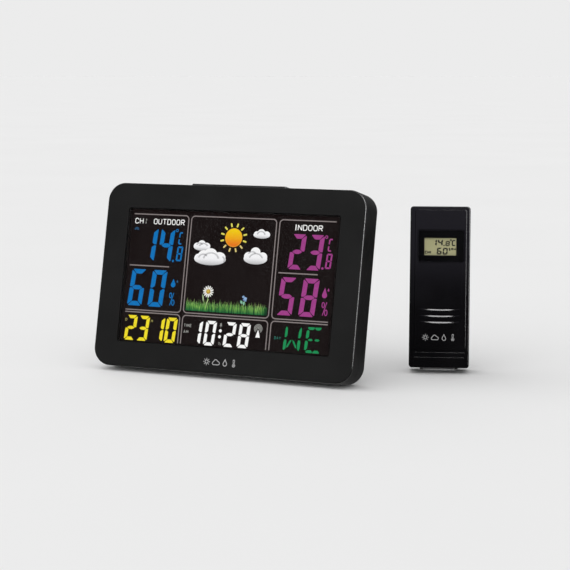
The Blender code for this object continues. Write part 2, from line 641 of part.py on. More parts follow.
def louvre(z):
    """Lens-shaped slot through the sensor's front."""
    steps = [-1 + 2 * i / LOUVRE_STEPS for i in range(LOUVRE_STEPS + 1)]
    upper = [(LOUVRE_X * t, LOUVRE_END + LOUVRE_BULGE * (1 - t * t)) for t in steps]
    lower = [(u, -v) for u, v in reversed(upper)]
    return outline_plate(upper + lower, 2.2,
                         Matrix.Translation((SEN_LCD_X, 0, z))
                         @ Matrix.Rotation(math.pi / 2, 4, "X"))


# ---- sensor front case -----------------------------------------------------
front = part("sensor_front_case",
             box(span(SEN_W), (0, SEN_SPLIT), (0, SEN_H), radius=SEN_R,
                 low_rim=0.8, rim_segs=2),
             "black_case", sensor)
cut(front, "cavity", sensor_cavity((2.0, SEN_SPLIT + 2)))
cut(front, "lens_seat",
    box(grown(span(SEN_LENS_W, SEN_LCD_X), GAP), (-1, 1.5),
        grown(span(SEN_LENS_H, SEN_LCD_Z), GAP), radius=1.6, segs=2))
cut(front, "window", box(span(26, SEN_LCD_X), (-1, 3), span(16, SEN_LCD_Z)))
cut(front, "louvres", merged([louvre(z) for z in (40.6, 36.2, 31.9)]))
cut(front, "lines", merged([box(span(34.8), (-1, 0.4), span(0.5, z))
                            for z in (10.6, 7.3)]))
for i, (x, z, _) in enumerate(SEN_SCREWS):
    join(front, f"post_{i}", rod(2.6, x, (1.6, 9.4), z, 12))
    cut(front, f"pilot_{i}", rod(1.25, x, (3.4, 10), z, 10))

# ---- sensor rear case and screws -------------------------------------------
back = part("sensor_rear_case",
            box(span(SEN_W), (SEN_SPLIT + GAP, SEN_D), (0, SEN_H), radius=SEN_R,
                high_rim=0.8, rim_segs=2),
            "black_case", sensor)
cut(back, "cavity", sensor_cavity((SEN_SPLIT - 2, SEN_D - SEN_WALL)))
join(back, "hinge_block", box(span(34.4), (10.9, SEN_D - 0.9), (0.7, 9.4)))
join(back, "pocket_floor", box(span(30), (16.2, SEN_D - 0.8), (6.0, 43.6)))
join(back, "bay_walls", box(span(26.8), (6.6, SEN_D - 0.7), (42.4, 101.2)))
cut(back, "bay", box(span(24.4), (7.6, SEN_D + 1), (50.4, 100.0)))
cut(back, "switch_bay", box(span(24.4), (7.6, SEN_D + 1), (43.6, 49.6)))
cut(back, "switch_window", box(span(18.8), (5, 9), (44.3, 49.0)))
cut(back, "cover_seat", box(span(28.4), (SEN_D - 1.4, SEN_D + 1), (42.6, 102.0),
                            radius=1.5, segs=2))
cut(back, "stand_pocket", box(span(27.4), (17.4, SEN_D + 1),
                              (-1, SEN_HINGE_Z + SEN_STAND_L + 0.6)))
for side in (-1, 1):
    cut(back, f"foot_{side + 1}",
        rod(FOOT_R + 0.4, span(FOOT_T + 2 * GAP, side * FOOT_X), SEN_HINGE_Y,
            SEN_HINGE_Z, 20))
    cut(back, f"pin_{side + 1}",
        rod(1.35, (side * 12.0, side * 16.0), SEN_HINGE_Y, SEN_HINGE_Z, 12))
for i, (x, z, tower_end) in enumerate(SEN_SCREWS):
    join(back, f"tower_{i}", rod(3.3, x, (9.9, tower_end), z, 14))
    cut(back, f"bore_{i}", rod(2.5, x, (12.4, SEN_D + 1), z, 14))
    cut(back, f"hole_{i}", rod(1.3, x, (9, 13), z, 10))
    screw(f"sensor_screw_{i + 1}", x, z, seat_y=12.7, tip_y=4.4, parent=sensor,
          radius=0.95, head_r=2.1, head_t=1.3)
cut(back, "key_round", rod(2.4, 0, (17, 22), 105.2, 16))
cut(back, "key_slot", box(span(2.6), (17, 22), (105.2, 109.2), radius=1.1, segs=2))

# ---- sensor display --------------------------------------------------------
part("sensor_lens", box(span(SEN_LENS_W, SEN_LCD_X), (0.4, 1.2),
                        span(SEN_LENS_H, SEN_LCD_Z), radius=1.4, segs=2),
     "lens", sensor)
sensor_lcd = part("sensor_lcd", box(span(28, SEN_LCD_X), (2.3, 3.1),
                                    (SEN_LCD_Z - 10.6, SEN_LCD_Z + 8.8)),
                  "grey_lcd", sensor)
join(sensor_lcd, "rear", box(span(27.6, SEN_LCD_X), (2.9, 3.9),
                             (SEN_LCD_Z - 8.2, SEN_LCD_Z + 8.6)))
part("sensor_zebra_strip", box(span(26, SEN_LCD_X), (3.4, 4.7),
                               (SEN_LCD_Z - 10.4, SEN_LCD_Z - 8.8)),
     "rubber", sensor)

# ---- sensor board, probe and antenna ---------------------------------------
board = part("sensor_board", box(span(34), (5.0, 6.2), (34, 99.0)),
             "circuit_board", sensor)
join(board, "slide_switch", box((-8.4, 0.4), (6.0, 9.2), (44.7, 48.6)))
join(board, "push_switch", box((2.8, 7.0), (6.0, 9.2), (44.7, 48.6)))
join(board, "controller", rod(4.5, -6, (3.6, 5.2), 56, 16))
join(board, "radio", box((6, 12), (3.4, 5.2), (52, 60)))
probe = part("sensor_probe", rod(1.1, 0, 3.6, (31.4, 28.6), 10), "epoxy", sensor)
join(probe, "leg_a", rod(0.35, -0.6, 3.6, (35.5, 31.0), 8))
join(probe, "leg_b", rod(0.35, 0.6, 3.6, (35.5, 31.0), 8))
# x, y, z along the antenna
SENSOR_ANTENNA = ((15.6, 7.2, 50), (15.6, 8.4, 52), (15.6, 8.4, 70),
                  (16.4, 8.4, 72), (14.8, 8.4, 75), (16.4, 8.4, 78),
                  (15.6, 8.4, 80), (15.6, 8.4, 92))
wire("sensor_antenna", SENSOR_ANTENNA, 0.45, "copper", sensor)

# ---- sensor cells: 1 nub up, 2 nub down, in series across the top plate ----
# side, nub, cell z, spring base z, spring direction, spring length
SENSOR_CELLS = ((-1, "+z", 76.25, 51.1, 1, 2.2),
                (1, "-z", 73.55, 98.5, -1, 2.0))
for i, (side, nub, cell_z, base_z, way, length) in enumerate(SENSOR_CELLS, 1):
    x = side * SEN_CELL_X
    cell(f"sensor_battery_{i}", (x, SEN_CELL_Y, cell_z), nub, sensor)
    spring(f"sensor_spring_{i}", (x, SEN_CELL_Y, base_z), (0, 0, way), length,
           base_r=3.4, tip_r=2.0, turns=2, parent=sensor)
contact_ys = span(8, SEN_CELL_Y)
part("sensor_contact", box(span(20.4), contact_ys, (99.15, 99.55)),
     "spring_steel", sensor)
part("sensor_terminal", box((2.6, 9.4), contact_ys, (50.65, 51.0)),
     "spring_steel", sensor)
part("sensor_battery_cover", box(span(27.8), (SEN_D - 1.1, SEN_D), (42.9, 101.7),
                                 radius=1.2, segs=2),
     "black_case", sensor, (0, SEN_D, 72.3))

# ---- sensor controls -------------------------------------------------------
selector = part("channel_switch", box(span(3.2, SWITCH_X), (9.5, 10.3),
                                      span(3, SWITCH_Z)),
                "white_plastic", sensor, (SWITCH_X, 10.0, SWITCH_Z))
join(selector, "nub", box(span(1.4, SWITCH_X), (10.1, 12.0), span(2, SWITCH_Z)))
part("tx_button", rod(1.5, TX_X, (9.8, 12.0), SWITCH_Z, 12), "white_plastic",
     sensor, (TX_X, 10.0, SWITCH_Z))

# ---- sensor stand: open, its tip on the table ------------------------------
stand_outer = SEN_STAND_OFFSET + SEN_STAND_T
stand_ys = (SEN_STAND_OFFSET, stand_outer)
stand_open = open_angle(FOOT_R, SEN_STAND_L, stand_outer, sen_lean)
hinge = frame("sensor_stand_hinge", (0, SEN_HINGE_Y, SEN_HINGE_Z),
              (-stand_open, 0, 0), sensor)
stand = part("sensor_stand", box(span(2 * FOOT_X + FOOT_T), stand_ys,
                                 (4.8, SEN_STAND_L), radius=2.0, segs=2),
             "black_case", hinge)
for side in (-1, 1):
    x = side * FOOT_X
    join(stand, f"arm_{side + 1}", box(span(FOOT_T - 0.1, x), grown(stand_ys, -0.05),
                                       (-0.2, 7.2)))
    join(stand, f"knuckle_{side + 1}", rod(FOOT_R, span(FOOT_T - 0.04, x), 0, 0, 24))
    join(stand, f"pin_{side + 1}", rod(1.05, (x, x + side * 3.2), 0, 0, 12))
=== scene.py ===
"""Looks of a home weather station: a leaning console on its stand and an outdoor sensor.

The world is in metres: floor at z = 0, the console faces -y, the sensor stands to
its right and a little behind. Console and sensor are slabs, each with a tilted frame
of its own in millimetres: x right, y depth from the front face, z up the slab.
"""

import math
import random

import bmesh
import bpy
from mathutils import Matrix, Vector


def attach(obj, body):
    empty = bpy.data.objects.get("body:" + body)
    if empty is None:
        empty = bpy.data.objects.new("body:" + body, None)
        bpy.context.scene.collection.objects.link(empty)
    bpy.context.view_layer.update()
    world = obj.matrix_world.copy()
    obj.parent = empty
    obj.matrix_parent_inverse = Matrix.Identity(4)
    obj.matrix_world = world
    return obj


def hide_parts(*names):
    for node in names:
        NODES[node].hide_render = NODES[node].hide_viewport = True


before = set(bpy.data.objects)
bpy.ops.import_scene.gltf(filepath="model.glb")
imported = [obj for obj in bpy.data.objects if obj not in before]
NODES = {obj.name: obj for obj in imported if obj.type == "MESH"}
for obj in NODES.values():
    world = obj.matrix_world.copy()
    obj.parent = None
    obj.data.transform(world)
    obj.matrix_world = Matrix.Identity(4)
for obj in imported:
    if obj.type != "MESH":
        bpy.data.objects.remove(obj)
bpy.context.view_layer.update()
SCENE = bpy.context.scene
MM = 0.001

# ---------------------------------------------------------------- frames ----
# Endings: W width, H height, D depth, R radius, T thickness, L length, Y and Z places
CASE_W, CASE_H, CASE_D, CASE_R = 195.0, 128.5, 22.0, 12.5
CASE_SPLIT, WALL, FRONT_T, GAP = 10.0, 2.0, 2.6, 0.3
# depths where the flat under the case starts and has its middle
FLAT_START, FLAT_MID = 17.0, 19.1
HINGE_Y, HINGE_Z = 19.0, 8.0

SENSOR_W, SENSOR_H, SENSOR_D, SENSOR_R = 41.4, 111.5, 20.0, 2.2
SENSOR_SPLIT, SENSOR_WALL = 9.7, 1.5
SENSOR_X, SENSOR_Y = 130.2, 61.7
SENSOR_YAW = math.radians(18.5)
FOOT_R, FOOT_X, FOOT_T = 4.1, 12.1, 2.2
SENSOR_HINGE_Y, SENSOR_HINGE_Z = 16.0, 2.4

lean = math.radians(12.5)
flat_mid_z = (FLAT_MID - FLAT_START) * math.tan(lean)
case_y = -(FLAT_MID * math.cos(lean) + flat_mid_z * math.sin(lean))
case_z = FLAT_MID * math.sin(lean) - flat_mid_z * math.cos(lean)
CONSOLE = Matrix.Translation((0, case_y * MM, case_z * MM)) @ Matrix.Rotation(-lean, 4, "X")

sensor_lean = math.radians(9.0)
sensor_z = (FOOT_R + SENSOR_HINGE_Y * math.sin(sensor_lean)
            - SENSOR_HINGE_Z * math.cos(sensor_lean))
SENSOR = (Matrix.Translation((SENSOR_X * MM, SENSOR_Y * MM, sensor_z * MM))
          @ Matrix.Rotation(SENSOR_YAW, 4, "Z")
          @ Matrix.Rotation(-sensor_lean, 4, "X"))


# -------------------------------------------------------------- materials ----
def srgb(*channels):
    """Linear colour of 0..255 display values."""
    scaled = [v / 255.0 for v in channels]
    return tuple(v / 12.92 if v <= 0.04045 else ((v + 0.055) / 1.055) ** 2.4
                 for v in scaled)


def add_node(tree, kind, **values):
    """New node; values go to the input of that name, or else to the property."""
    node = tree.nodes.new(kind)
    for key, value in values.items():
        if key in node.inputs:
            node.inputs[key].default_value = value
        else:
            setattr(node, key, value)
    return node


class Look:
    """Small helper to wire a node material."""

    def __init__(self, name):
        self.material = bpy.data.materials.new(name)
        self.material.use_nodes = True
        self.tree = self.material.node_tree
        self.link = self.tree.links.new
        self.bsdf = self.tree.nodes["Principled BSDF"]
        self.inputs = self.bsdf.inputs
        self.coord = self.node("ShaderNodeTexCoord")

    def node(self, kind, **values):
        return add_node(self.tree, kind, **values)

    def noise(self, scale, detail=2.0, roughness=0.5):
        node = self.node("ShaderNodeTexNoise", Scale=scale, Detail=detail,
                         Roughness=roughness)
        self.link(self.coord.outputs["Object"], node.inputs["Vector"])
        return node.outputs["Fac"]

    def ramp(self, source, dark, light):
        node = self.node("ShaderNodeValToRGB")
        for element, place, colour in zip(node.color_ramp.elements, (0.3, 0.7),
                                          (dark, light)):
            element.position = place
            element.color = (*colour, 1.0)
        self.link(source, node.inputs["Fac"])
        return node.outputs["Color"]

    def bump(self, height, strength, distance):
        node = self.node("ShaderNodeBump", Strength=strength, Distance=distance)
        self.link(height, node.inputs["Height"])
        self.link(node.outputs["Normal"], self.inputs["Normal"])

    def rough_range(self, source, low, high, source_low=0.35, source_high=0.65):
        node = self.node("ShaderNodeMapRange", **{
            "From Min": source_low, "From Max": source_high,
            "To Min": low, "To Max": high})
        self.link(source, node.inputs["Value"])
        self.link(node.outputs["Result"], self.inputs["Roughness"])

    def glow(self, colour, mottle, base):
        """Even glow of that colour over a nearly black, dull base."""
        self.link(colour, self.inputs["Emission Color"])
        self.inputs["Emission Strength"].default_value = 1.0
        self.inputs["Base Color"].default_value = (base, base, base, 1.0)
        self.rough_range(mottle, low=0.5, high=0.7)
        self.inputs["Specular IOR Level"].default_value = 0.1
        # Cycles may be switched off; the glow is too faint to sample as a lamp
        if hasattr(self.material, "cycles"):
            self.material.cycles.emission_sampling = "NONE"
        return self.material


def moulded(name, dark, light, rough_low, rough_high, grain, strength, cloud, specular,
            depth=0.00006):
    """Moulded plastic: spark-eroded grain in the bump, a slow drift in colour
    and roughness as handling and flow leave it."""
    look = Look(name)
    slow = look.noise(cloud, detail=3.0)
    fine = look.noise(grain, detail=3.0, roughness=0.6)
    look.link(look.ramp(slow, dark, light), look.inputs["Base Color"])
    blend = look.node("ShaderNodeMath", operation="MULTIPLY_ADD")
    look.link(fine, blend.inputs[0])
    blend.inputs[1].default_value = 0.35
    look.link(slow, blend.inputs[2])
    look.rough_range(blend.outputs[0], rough_low, rough_high,
                     source_low=0.45, source_high=0.9)
    look.bump(fine, strength, depth)
    look.inputs["Specular IOR Level"].default_value = specular
    return look.material


def metal(name, dark, light, rough_low, rough_high, scale):
    look = Look(name)
    noise = look.noise(scale, detail=3.0)
    look.link(look.ramp(noise, dark, light), look.inputs["Base Color"])
    look.inputs["Metallic"].default_value = 1.0
    look.rough_range(noise, rough_low, rough_high)
    look.bump(noise, strength=0.1, distance=0.00003)
    return look.material


def lit_segment(name, colour, variation=0.10, grain=900.0, base=0.004):
    """Back-lit colour area of the display with the faint mottle of the film."""
    look = Look(name)
    mottle = look.noise(grain)
    low = tuple(c * (1 - variation) for c in colour)
    high = tuple(min(1.0, c * (1 + variation)) for c in colour)
    return look.glow(look.ramp(mottle, low, high), mottle, base)


def lit_picture(name):
    """Picture area of the display, its tint stored at the corners."""
    look = Look(name)
    tint = look.node("ShaderNodeVertexColor", layer_name="tint")
    mottle = look.noise(1400.0)
    film = look.ramp(mottle, (0.95,) * 3, (1.0,) * 3)
    blend = look.node("ShaderNodeMix", data_type="RGBA", blend_type="MULTIPLY")
    blend.inputs[0].default_value = 1.0
    look.link(tint.outputs["Color"], blend.inputs[6])
    look.link(film, blend.inputs[7])
    return look.glow(blend.outputs[2], mottle, base=0.004)


def window(name, tint, roughness, mirror):
    """Clear window: passes what is behind it unbent, mirrors by angle."""
    look = Look(name)
    noise = look.noise(35.0)
    look.tree.nodes.remove(look.bsdf)
    clear = look.node("ShaderNodeBsdfTransparent", Color=(tint, tint, tint, 1.0))
    gloss = look.node("ShaderNodeBsdfGlossy", Color=(1, 1, 1, 1))
    smear = look.node("ShaderNodeMapRange",
                      **{"To Min": roughness, "To Max": roughness + 0.05})
    look.link(noise, smear.inputs["Value"])
    look.link(smear.outputs["Result"], gloss.inputs["Roughness"])
    fresnel = look.node("ShaderNodeFresnel", IOR=1.45)
    geometry = look.node("ShaderNodeNewGeometry")
    front = look.node("ShaderNodeMath", operation="SUBTRACT")
    front.inputs[0].default_value = 1.0
    look.link(geometry.outputs["Backfacing"], front.inputs[1])
    both = look.node("ShaderNodeMath", operation="MULTIPLY")
    look.link(fresnel.outputs["Fac"], both.inputs[0])
    look.link(front.outputs[0], both.inputs[1])
    share = look.node("ShaderNodeMath", operation="MULTIPLY")
    look.link(both.outputs[0], share.inputs[0])
    share.inputs[1].default_value = mirror
    blend = look.node("ShaderNodeMixShader")
    look.link(share.outputs[0], blend.inputs[0])
    look.link(clear.outputs[0], blend.inputs[1])
    look.link(gloss.outputs[0], blend.inputs[2])
    out = look.tree.nodes["Material Output"]
    look.link(blend.outputs[0], out.inputs["Surface"])
    return look.material


# name: dark and light display colour, roughness low and high, grain scale,
# grain strength, scale of the slow drift, specular level
MOULDED = {
    "case_black": ((28, 28, 28), (30, 30, 30), 0.29, 0.36, 2400, 0.16, 40, 0.35),
    "case_black_back": ((28, 28, 29), (32, 32, 33), 0.42, 0.56, 2000, 0.35, 30, 0.4),
    "snooze_black": ((26, 26, 26), (29, 29, 29), 0.36, 0.46, 2600, 0.18, 60, 0.5),
    "key_rubber": ((46, 46, 48), (54, 54, 56), 0.62, 0.8, 3200, 0.3, 200, 0.3),
    "sensor_black": ((2, 1, 3), (4, 3, 6), 0.14, 0.18, 3000, 0.03, 45, 0.5),
    "case_rim": ((25, 25, 25), (28, 28, 28), 0.20, 0.26, 2400, 0.06, 40, 0.5),
    # painted shade: the case's side walls, the same plastic as the front given a darker
    # colour
    "case_side_painted_shade": ((13, 13, 13), (18, 18, 18), 0.48, 0.58, 2400, 0.2, 40, 0.06),
    "lcd_black": ((23, 18, 18), (25, 20, 20), 0.35, 0.45, 1500, 0.02, 25, 0.05),
    "frame_white": ((214, 214, 208), (228, 228, 222), 0.45, 0.6, 1800, 0.15, 60, 0.5),
    "light_guide": ((222, 228, 234), (238, 242, 246), 0.12, 0.22, 900, 0.05, 60, 0.5),
    "board_green": ((16, 70, 38), (30, 98, 52), 0.28, 0.5, 700, 0.2, 220, 0.5),
    "flex_amber": ((150, 84, 26), (178, 104, 36), 0.25, 0.4, 900, 0.1, 150, 0.5),
    "component_black": ((22, 22, 23), (32, 32, 33), 0.4, 0.6, 2600, 0.3, 150, 0.5),
    "rubber_black": ((30, 30, 30), (40, 40, 40), 0.7, 0.9, 2200, 0.3, 60, 0.5),
    "ferrite_grey": ((58, 56, 54), (76, 74, 70), 0.6, 0.8, 1500, 0.4, 120, 0.5),
    "wire_red": ((160, 18, 16), (186, 26, 22), 0.3, 0.45, 1200, 0.05, 60, 0.5),
    "switch_white": ((214, 214, 210), (228, 228, 224), 0.35, 0.5, 2400, 0.15, 200, 0.5),
    "sensor_lens_print": ((1, 1, 2), (2, 2, 3), 0.25, 0.35, 1500, 0.02, 25, 0.05),
    "print_grey": ((160, 160, 160), (174, 174, 174), 0.45, 0.6, 1800, 0.1, 90, 0.3),
    "lcd_ink": ((8, 9, 5), (16, 17, 11), 0.4, 0.5, 900, 0.02, 60, 0.2),
    "lcd_olive": ((179, 176, 130), (188, 184, 139), 0.3, 0.4, 900, 0.03, 70, 0.3),
    "cell_wrap": ((34, 92, 104), (44, 108, 120), 0.25, 0.35, 900, 0.05, 60, 0.5),
}
# name: dark and light linear colour, roughness low and high, noise scale
METALS = {
    "coil_copper": ((0.55, 0.21, 0.09), (0.78, 0.36, 0.18), 0.18, 0.35, 2200),
    "spring_steel": ((0.5, 0.5, 0.49), (0.7, 0.7, 0.68), 0.22, 0.4, 900),
    "screw_steel": ((0.16, 0.16, 0.17), (0.3, 0.3, 0.31), 0.3, 0.5, 1500),
}
# name: display colour
LIT = {
    "lit_blue": (2, 114, 186), "dim_blue": (44, 96, 138), "lit_purple": (160, 62, 136),
    "lit_yellow": (245, 224, 40), "dim_yellow": (150, 144, 84),
    "lit_grey": (142, 142, 138), "lit_green": (22, 142, 82),
    "dim_green": (40, 112, 98), "lit_line": (138, 129, 128),
}
MATERIALS = {
    "lit_white": lit_segment("lit_white", srgb(254, 254, 251), variation=0.04),
    # the black of a display that is on: a little of its light leaks through
    "lcd_dark": lit_segment("lcd_dark", srgb(18, 9, 9), variation=0.06, grain=45.0,
                            base=0.0015),
    "lit_picture": lit_picture("lit_picture"),
    "pale_floor": moulded("pale_floor", (0.83,) * 3, (0.845,) * 3, rough_low=0.85,
                          rough_high=0.95, grain=120.0, strength=0.02, cloud=3.0,
                          specular=0.0, depth=0.0001),
    "display_window": window("display_window", tint=0.97, roughness=0.09, mirror=0.35),
    "sensor_window": window("sensor_window", tint=0.98, roughness=0.05, mirror=0.12),
}
for name, (dark, light, *numbers) in MOULDED.items():
    MATERIALS[name] = moulded(name, srgb(*dark), srgb(*light), *numbers)
for name, row in METALS.items():
    MATERIALS[name] = metal(name, *row)
for name, colour in LIT.items():
    MATERIALS[name] = lit_segment(name, srgb(*colour))


def dress(obj, *names):
    """Gives the object these materials and no others."""
    obj.data.materials.clear()
    for name in names:
        obj.data.materials.append(MATERIALS[name])


BUTTONS = ("mode_button", "up_button", "down_button", "history_button",
           "channel_button", "alert_button")
NODE_MATERIALS = {
    "case_black_back": ("stand", "battery_cover"),
    "key_rubber": BUTTONS,
    "lcd_dark": ("lcd_panel",),
    "light_guide": ("light_guide",),
    "frame_white": ("lcd_frame", "led_strip"),
    "flex_amber": ("lcd_ribbon",),
    "board_green": ("main_board", "button_board", "receiver_board", "sensor_board"),
    "component_black": ("snooze_switch", "buzzer", "dc_jack", "indoor_probe",
                        "sensor_probe"),
    "coil_copper": ("rod_coil", "receiver_antenna", "sensor_antenna"),
    "ferrite_grey": ("ferrite_rod",),
    "wire_red": ("battery_lead",),
    "spring_steel": ("battery_spring_1", "battery_spring_2", "battery_spring_3",
                     "battery_contact", "sensor_spring_1", "sensor_spring_2",
                     "sensor_contact", "sensor_terminal"),
    "screw_steel": ("case_screw_1", "case_screw_2", "case_screw_3", "case_screw_4",
                    "sensor_screw_1", "sensor_screw_2", "sensor_screw_3"),
    "rubber_black": ("sensor_zebra_strip",),
    "switch_white": ("channel_switch", "tx_button"),
    "sensor_black": ("sensor_battery_cover", "sensor_stand"),
    "lcd_olive": ("sensor_lcd",),
}
for material, nodes in NODE_MATERIALS.items():
    for node in nodes:
        dress(NODES[node], material)


# ----------------------------------------------------------- mesh helpers ----
def link_object(name, shape):
    mesh = bpy.data.meshes.new(name)
    shape.to_mesh(mesh)
    shape.free()
    obj = bpy.data.objects.new(name, mesh)
    SCENE.collection.objects.link(obj)
    return obj


def place_object(name, shape, base=Matrix.Identity(4)):
    """Object from a shape in millimetres of the slab frame `base`."""
    bmesh.ops.scale(shape, vec=(MM, MM, MM), verts=shape.verts)
    bmesh.ops.transform(shape, matrix=base, verts=shape.verts)
    return link_object(name, shape)


def smooth_below(mesh, degrees):
    mesh.shade_smooth()
    mesh.set_sharp_from_angle(angle=math.radians(degrees))


def add_plate(name, shape, material, base, body):
    obj = place_object(name, shape, base)
    dress(obj, material)
    smooth_below(obj.data, 40)
    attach(obj, body)
    return obj


def arc(x_mid, y_mid, x_radius, y_radius, start, end, steps=8):
    """Points of an ellipse between two angles in degrees, both ends included."""
    angles = [math.radians(start + (end - start) * i / steps) for i in range(steps + 1)]
    return [(x_mid + x_radius * math.cos(a), y_mid + y_radius * math.sin(a))
            for a in angles]


def rounded(x_mid, z_mid, width, height, radius, steps):
    """Rounded rectangle outline, counter-clockwise in x, z."""
    radius = max(min(radius, width / 2 - 1e-3, height / 2 - 1e-3), 0.01)
    points = []
    for x_side, z_side, start in ((1, 1, 0), (-1, 1, 90), (-1, -1, 180), (1, -1, 270)):
        points += arc(x_mid + x_side * (width / 2 - radius),
                      z_mid + z_side * (height / 2 - radius),
                      radius, radius, start, start + 90, steps)
    return points


def loft(rings, closed=False):
    """Rings of equal length joined by quads: capped, or closed on themselves."""
    shape = bmesh.new()
    rows = [[shape.verts.new(p) for p in points] for points in rings]
    for row, after in zip(rows, rows[1:] + (rows[:1] if closed else [])):
        for i in range(len(row)):
            j = (i + 1) % len(row)
            shape.faces.new((row[i], row[j], after[j], after[i]))
    if not closed:
        shape.faces.new(list(reversed(rows[0])))
        shape.faces.new(rows[-1])
    return shape


def slab(x_mid, mid, width, height, radius, levels, steps=10, upright=False):
    """Rounded slab along y, its levels (y, inset) pairs from front to back; an
    upright one runs along z, with `mid` and `height` measured in y."""
    rings = []
    for level, inset in levels:
        outline = rounded(x_mid, mid, width - 2 * inset, height - 2 * inset,
                          max(radius - inset, 0.05), steps)
        rings.append([(x, v, level) if upright else (x, level, v) for x, v in outline])
    shape = loft(rings)
    bmesh.ops.recalc_face_normals(shape, faces=shape.faces)
    return shape


def fillet(end, radius, steps=6, back=False):
    """Levels of a quarter-round rim that ends at depth `end`."""
    sign = -1 if back else 1
    turns = [math.pi / 2 * i / steps for i in range(steps + 1)]
    return sorted((end + sign * radius * (1 - math.cos(a)), radius * (1 - math.sin(a)))
                  for a in turns)


def soft_hole(x_mid, z_mid, width, height, radius, mouth, end, lip, front=False):
    """Cutter for a hole with a small rounded lip at its mouth."""
    sign = 1 if front else -1
    levels = [(mouth - sign * 2.0, -lip), (end, 0.0)]
    for i in range(4):
        turn = math.sin(math.pi / 2 * i / 3)
        levels.append((mouth + sign * lip * turn, -lip * (1 - turn)))
    return slab(x_mid, z_mid, width, height, radius, sorted(levels), 8)


def frame_plate(outer, inner, front, back):
    """Flat ring between two rounded rectangles: (x, z, width, height, radius)."""
    rings = [[(x, y, z) for x, z in rounded(*outline, 6)]
             for outline, y in ((outer, front), (inner, front), (inner, back),
                                (outer, back))]
    shape = loft(rings, closed=True)
    bmesh.ops.recalc_face_normals(shape, faces=shape.faces)
    return shape


def box(low, high):
    shape = bmesh.new()
    bmesh.ops.create_cube(shape, size=1.0)
    bmesh.ops.scale(shape, vec=[b - a for a, b in zip(low, high)], verts=shape.verts)
    bmesh.ops.translate(shape, vec=[(a + b) / 2 for a, b in zip(low, high)],
                        verts=shape.verts)
    return shape


def rod(radius, start, end, segments=32):
    start, end = Vector(start), Vector(end)
    along = end - start
    shape = bmesh.new()
    bmesh.ops.create_cone(shape, cap_ends=True, segments=segments, radius1=radius,
                          radius2=radius, depth=along.length)
    turn = Vector((0, 0, 1)).rotation_difference(along).to_matrix().to_4x4()
    bmesh.ops.transform(shape, matrix=Matrix.Translation((start + end) / 2) @ turn,
                        verts=shape.verts)
    return shape


def y_rod(radius, x, z, start, end, segments):
    return rod(radius, (x, start, z), (x, end, z), segments)


def merge(parts):
    mesh = bpy.data.meshes.new("tmp")
    whole = bmesh.new()
    for shape in parts:
        shape.to_mesh(mesh)
        whole.from_mesh(mesh)
        shape.free()
    bpy.data.meshes.remove(mesh)
    return whole


class Shell:
    """One visible shell: a solid with exact Booleans, applied at the end."""

    def __init__(self, name, shape, base):
        self.name, self.base, self.tools = name, base, []
        self.obj = self._object(name, shape)

    def _object(self, name, shape):
        bmesh.ops.recalc_face_normals(shape, faces=shape.faces)
        return place_object(name, shape)

    def _tool(self, shape, operation):
        tool = self._object(self.name + "_tool", shape)
        self.tools.append(tool)
        boolean = self.obj.modifiers.new("b", "BOOLEAN")
        boolean.operation, boolean.solver, boolean.object = operation, "EXACT", tool
        return tool

    def cut(self, shape):
        self._tool(shape, "DIFFERENCE")

    def cut_in_world(self, shape):
        """Cuts with a shape given in world millimetres."""
        self._tool(shape, "DIFFERENCE").matrix_world = self.base.inverted()

    def join(self, shape):
        self._tool(shape, "UNION")

    def done(self, material, body, replaced, slot, smooth=35):
        bpy.context.view_layer.update()
        graph = bpy.context.evaluated_depsgraph_get()
        mesh = bpy.data.meshes.new_from_object(self.obj.evaluated_get(graph),
                                               depsgraph=graph)
        shape = bmesh.new()
        shape.from_mesh(mesh)
        bmesh.ops.remove_doubles(shape, verts=shape.verts, dist=2e-6)
        bmesh.ops.dissolve_degenerate(shape, dist=1e-6, edges=shape.edges)
        shape.to_mesh(mesh)
        shape.free()
        mesh.transform(self.base)
        mesh.name = self.name
        skin = bpy.data.objects.new(self.name + "_skin", mesh)
        SCENE.collection.objects.link(skin)
        for obj in (*self.tools, self.obj):
            bpy.data.objects.remove(obj, do_unlink=True)
        dress(skin, material)
        smooth_below(mesh, smooth)
        even = skin.modifiers.new("even", "WEIGHTED_NORMAL")
        even.keep_sharp = True
        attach(skin, body)
        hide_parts(replaced)
        return skin


# --------------------------------------------------------- console shells ----
HALF, MID = CASE_W / 2, CASE_H / 2
BACK_IN = CASE_D - WALL
CAVITY = (0, MID, CASE_W - 2 * WALL, CASE_H - 2 * WALL, CASE_R - WALL)
LENS_W, LENS_H, LENS_T, LENS_FRONT, LENS_Z = 159.8, 93.6, 1.2, 0.4, 64.25
WINDOW_W, WINDOW_H = 156.8, 92.0
SCREWS = ((-87.5, 13.0), (87.5, 13.0), (-87.5, 115.5), (87.5, 115.5))
SNOOZE_W, SNOOZE_FRONT, SNOOZE_BACK, SNOOZE_RISE = 72.0, 6.0, 19.0, 1.8
BUTTON_Z, BUTTON_PITCH, BUTTON_W, BUTTON_H, BUTTON_RISE = 108.0, 19.0, 12.0, 6.0, 0.7
BUTTON_X = [(i - 2.5) * BUTTON_PITCH for i in range(6)]
# battery bay: half width, bottom, top, depth of its floor
BAY_X, BAY_LOW, BAY_TOP, BAY_FLOOR = 26.8, 57.2, 91.2, 10.0
BAY_MID, BAY_H = (BAY_LOW + BAY_TOP) / 2, BAY_TOP - BAY_LOW
STAND_W, STAND_L, STAND_T, STAND_OFFSET = 69.2, 38.0, 2.2, 0.6
TO_SLAB = CONSOLE.inverted()


def snooze_slot():
    return box((-SNOOZE_W / 2 - 0.4, SNOOZE_FRONT - 0.4, CASE_H - 4),
               (SNOOZE_W / 2 + 0.4, SNOOZE_BACK + 0.4, CASE_H + 4))


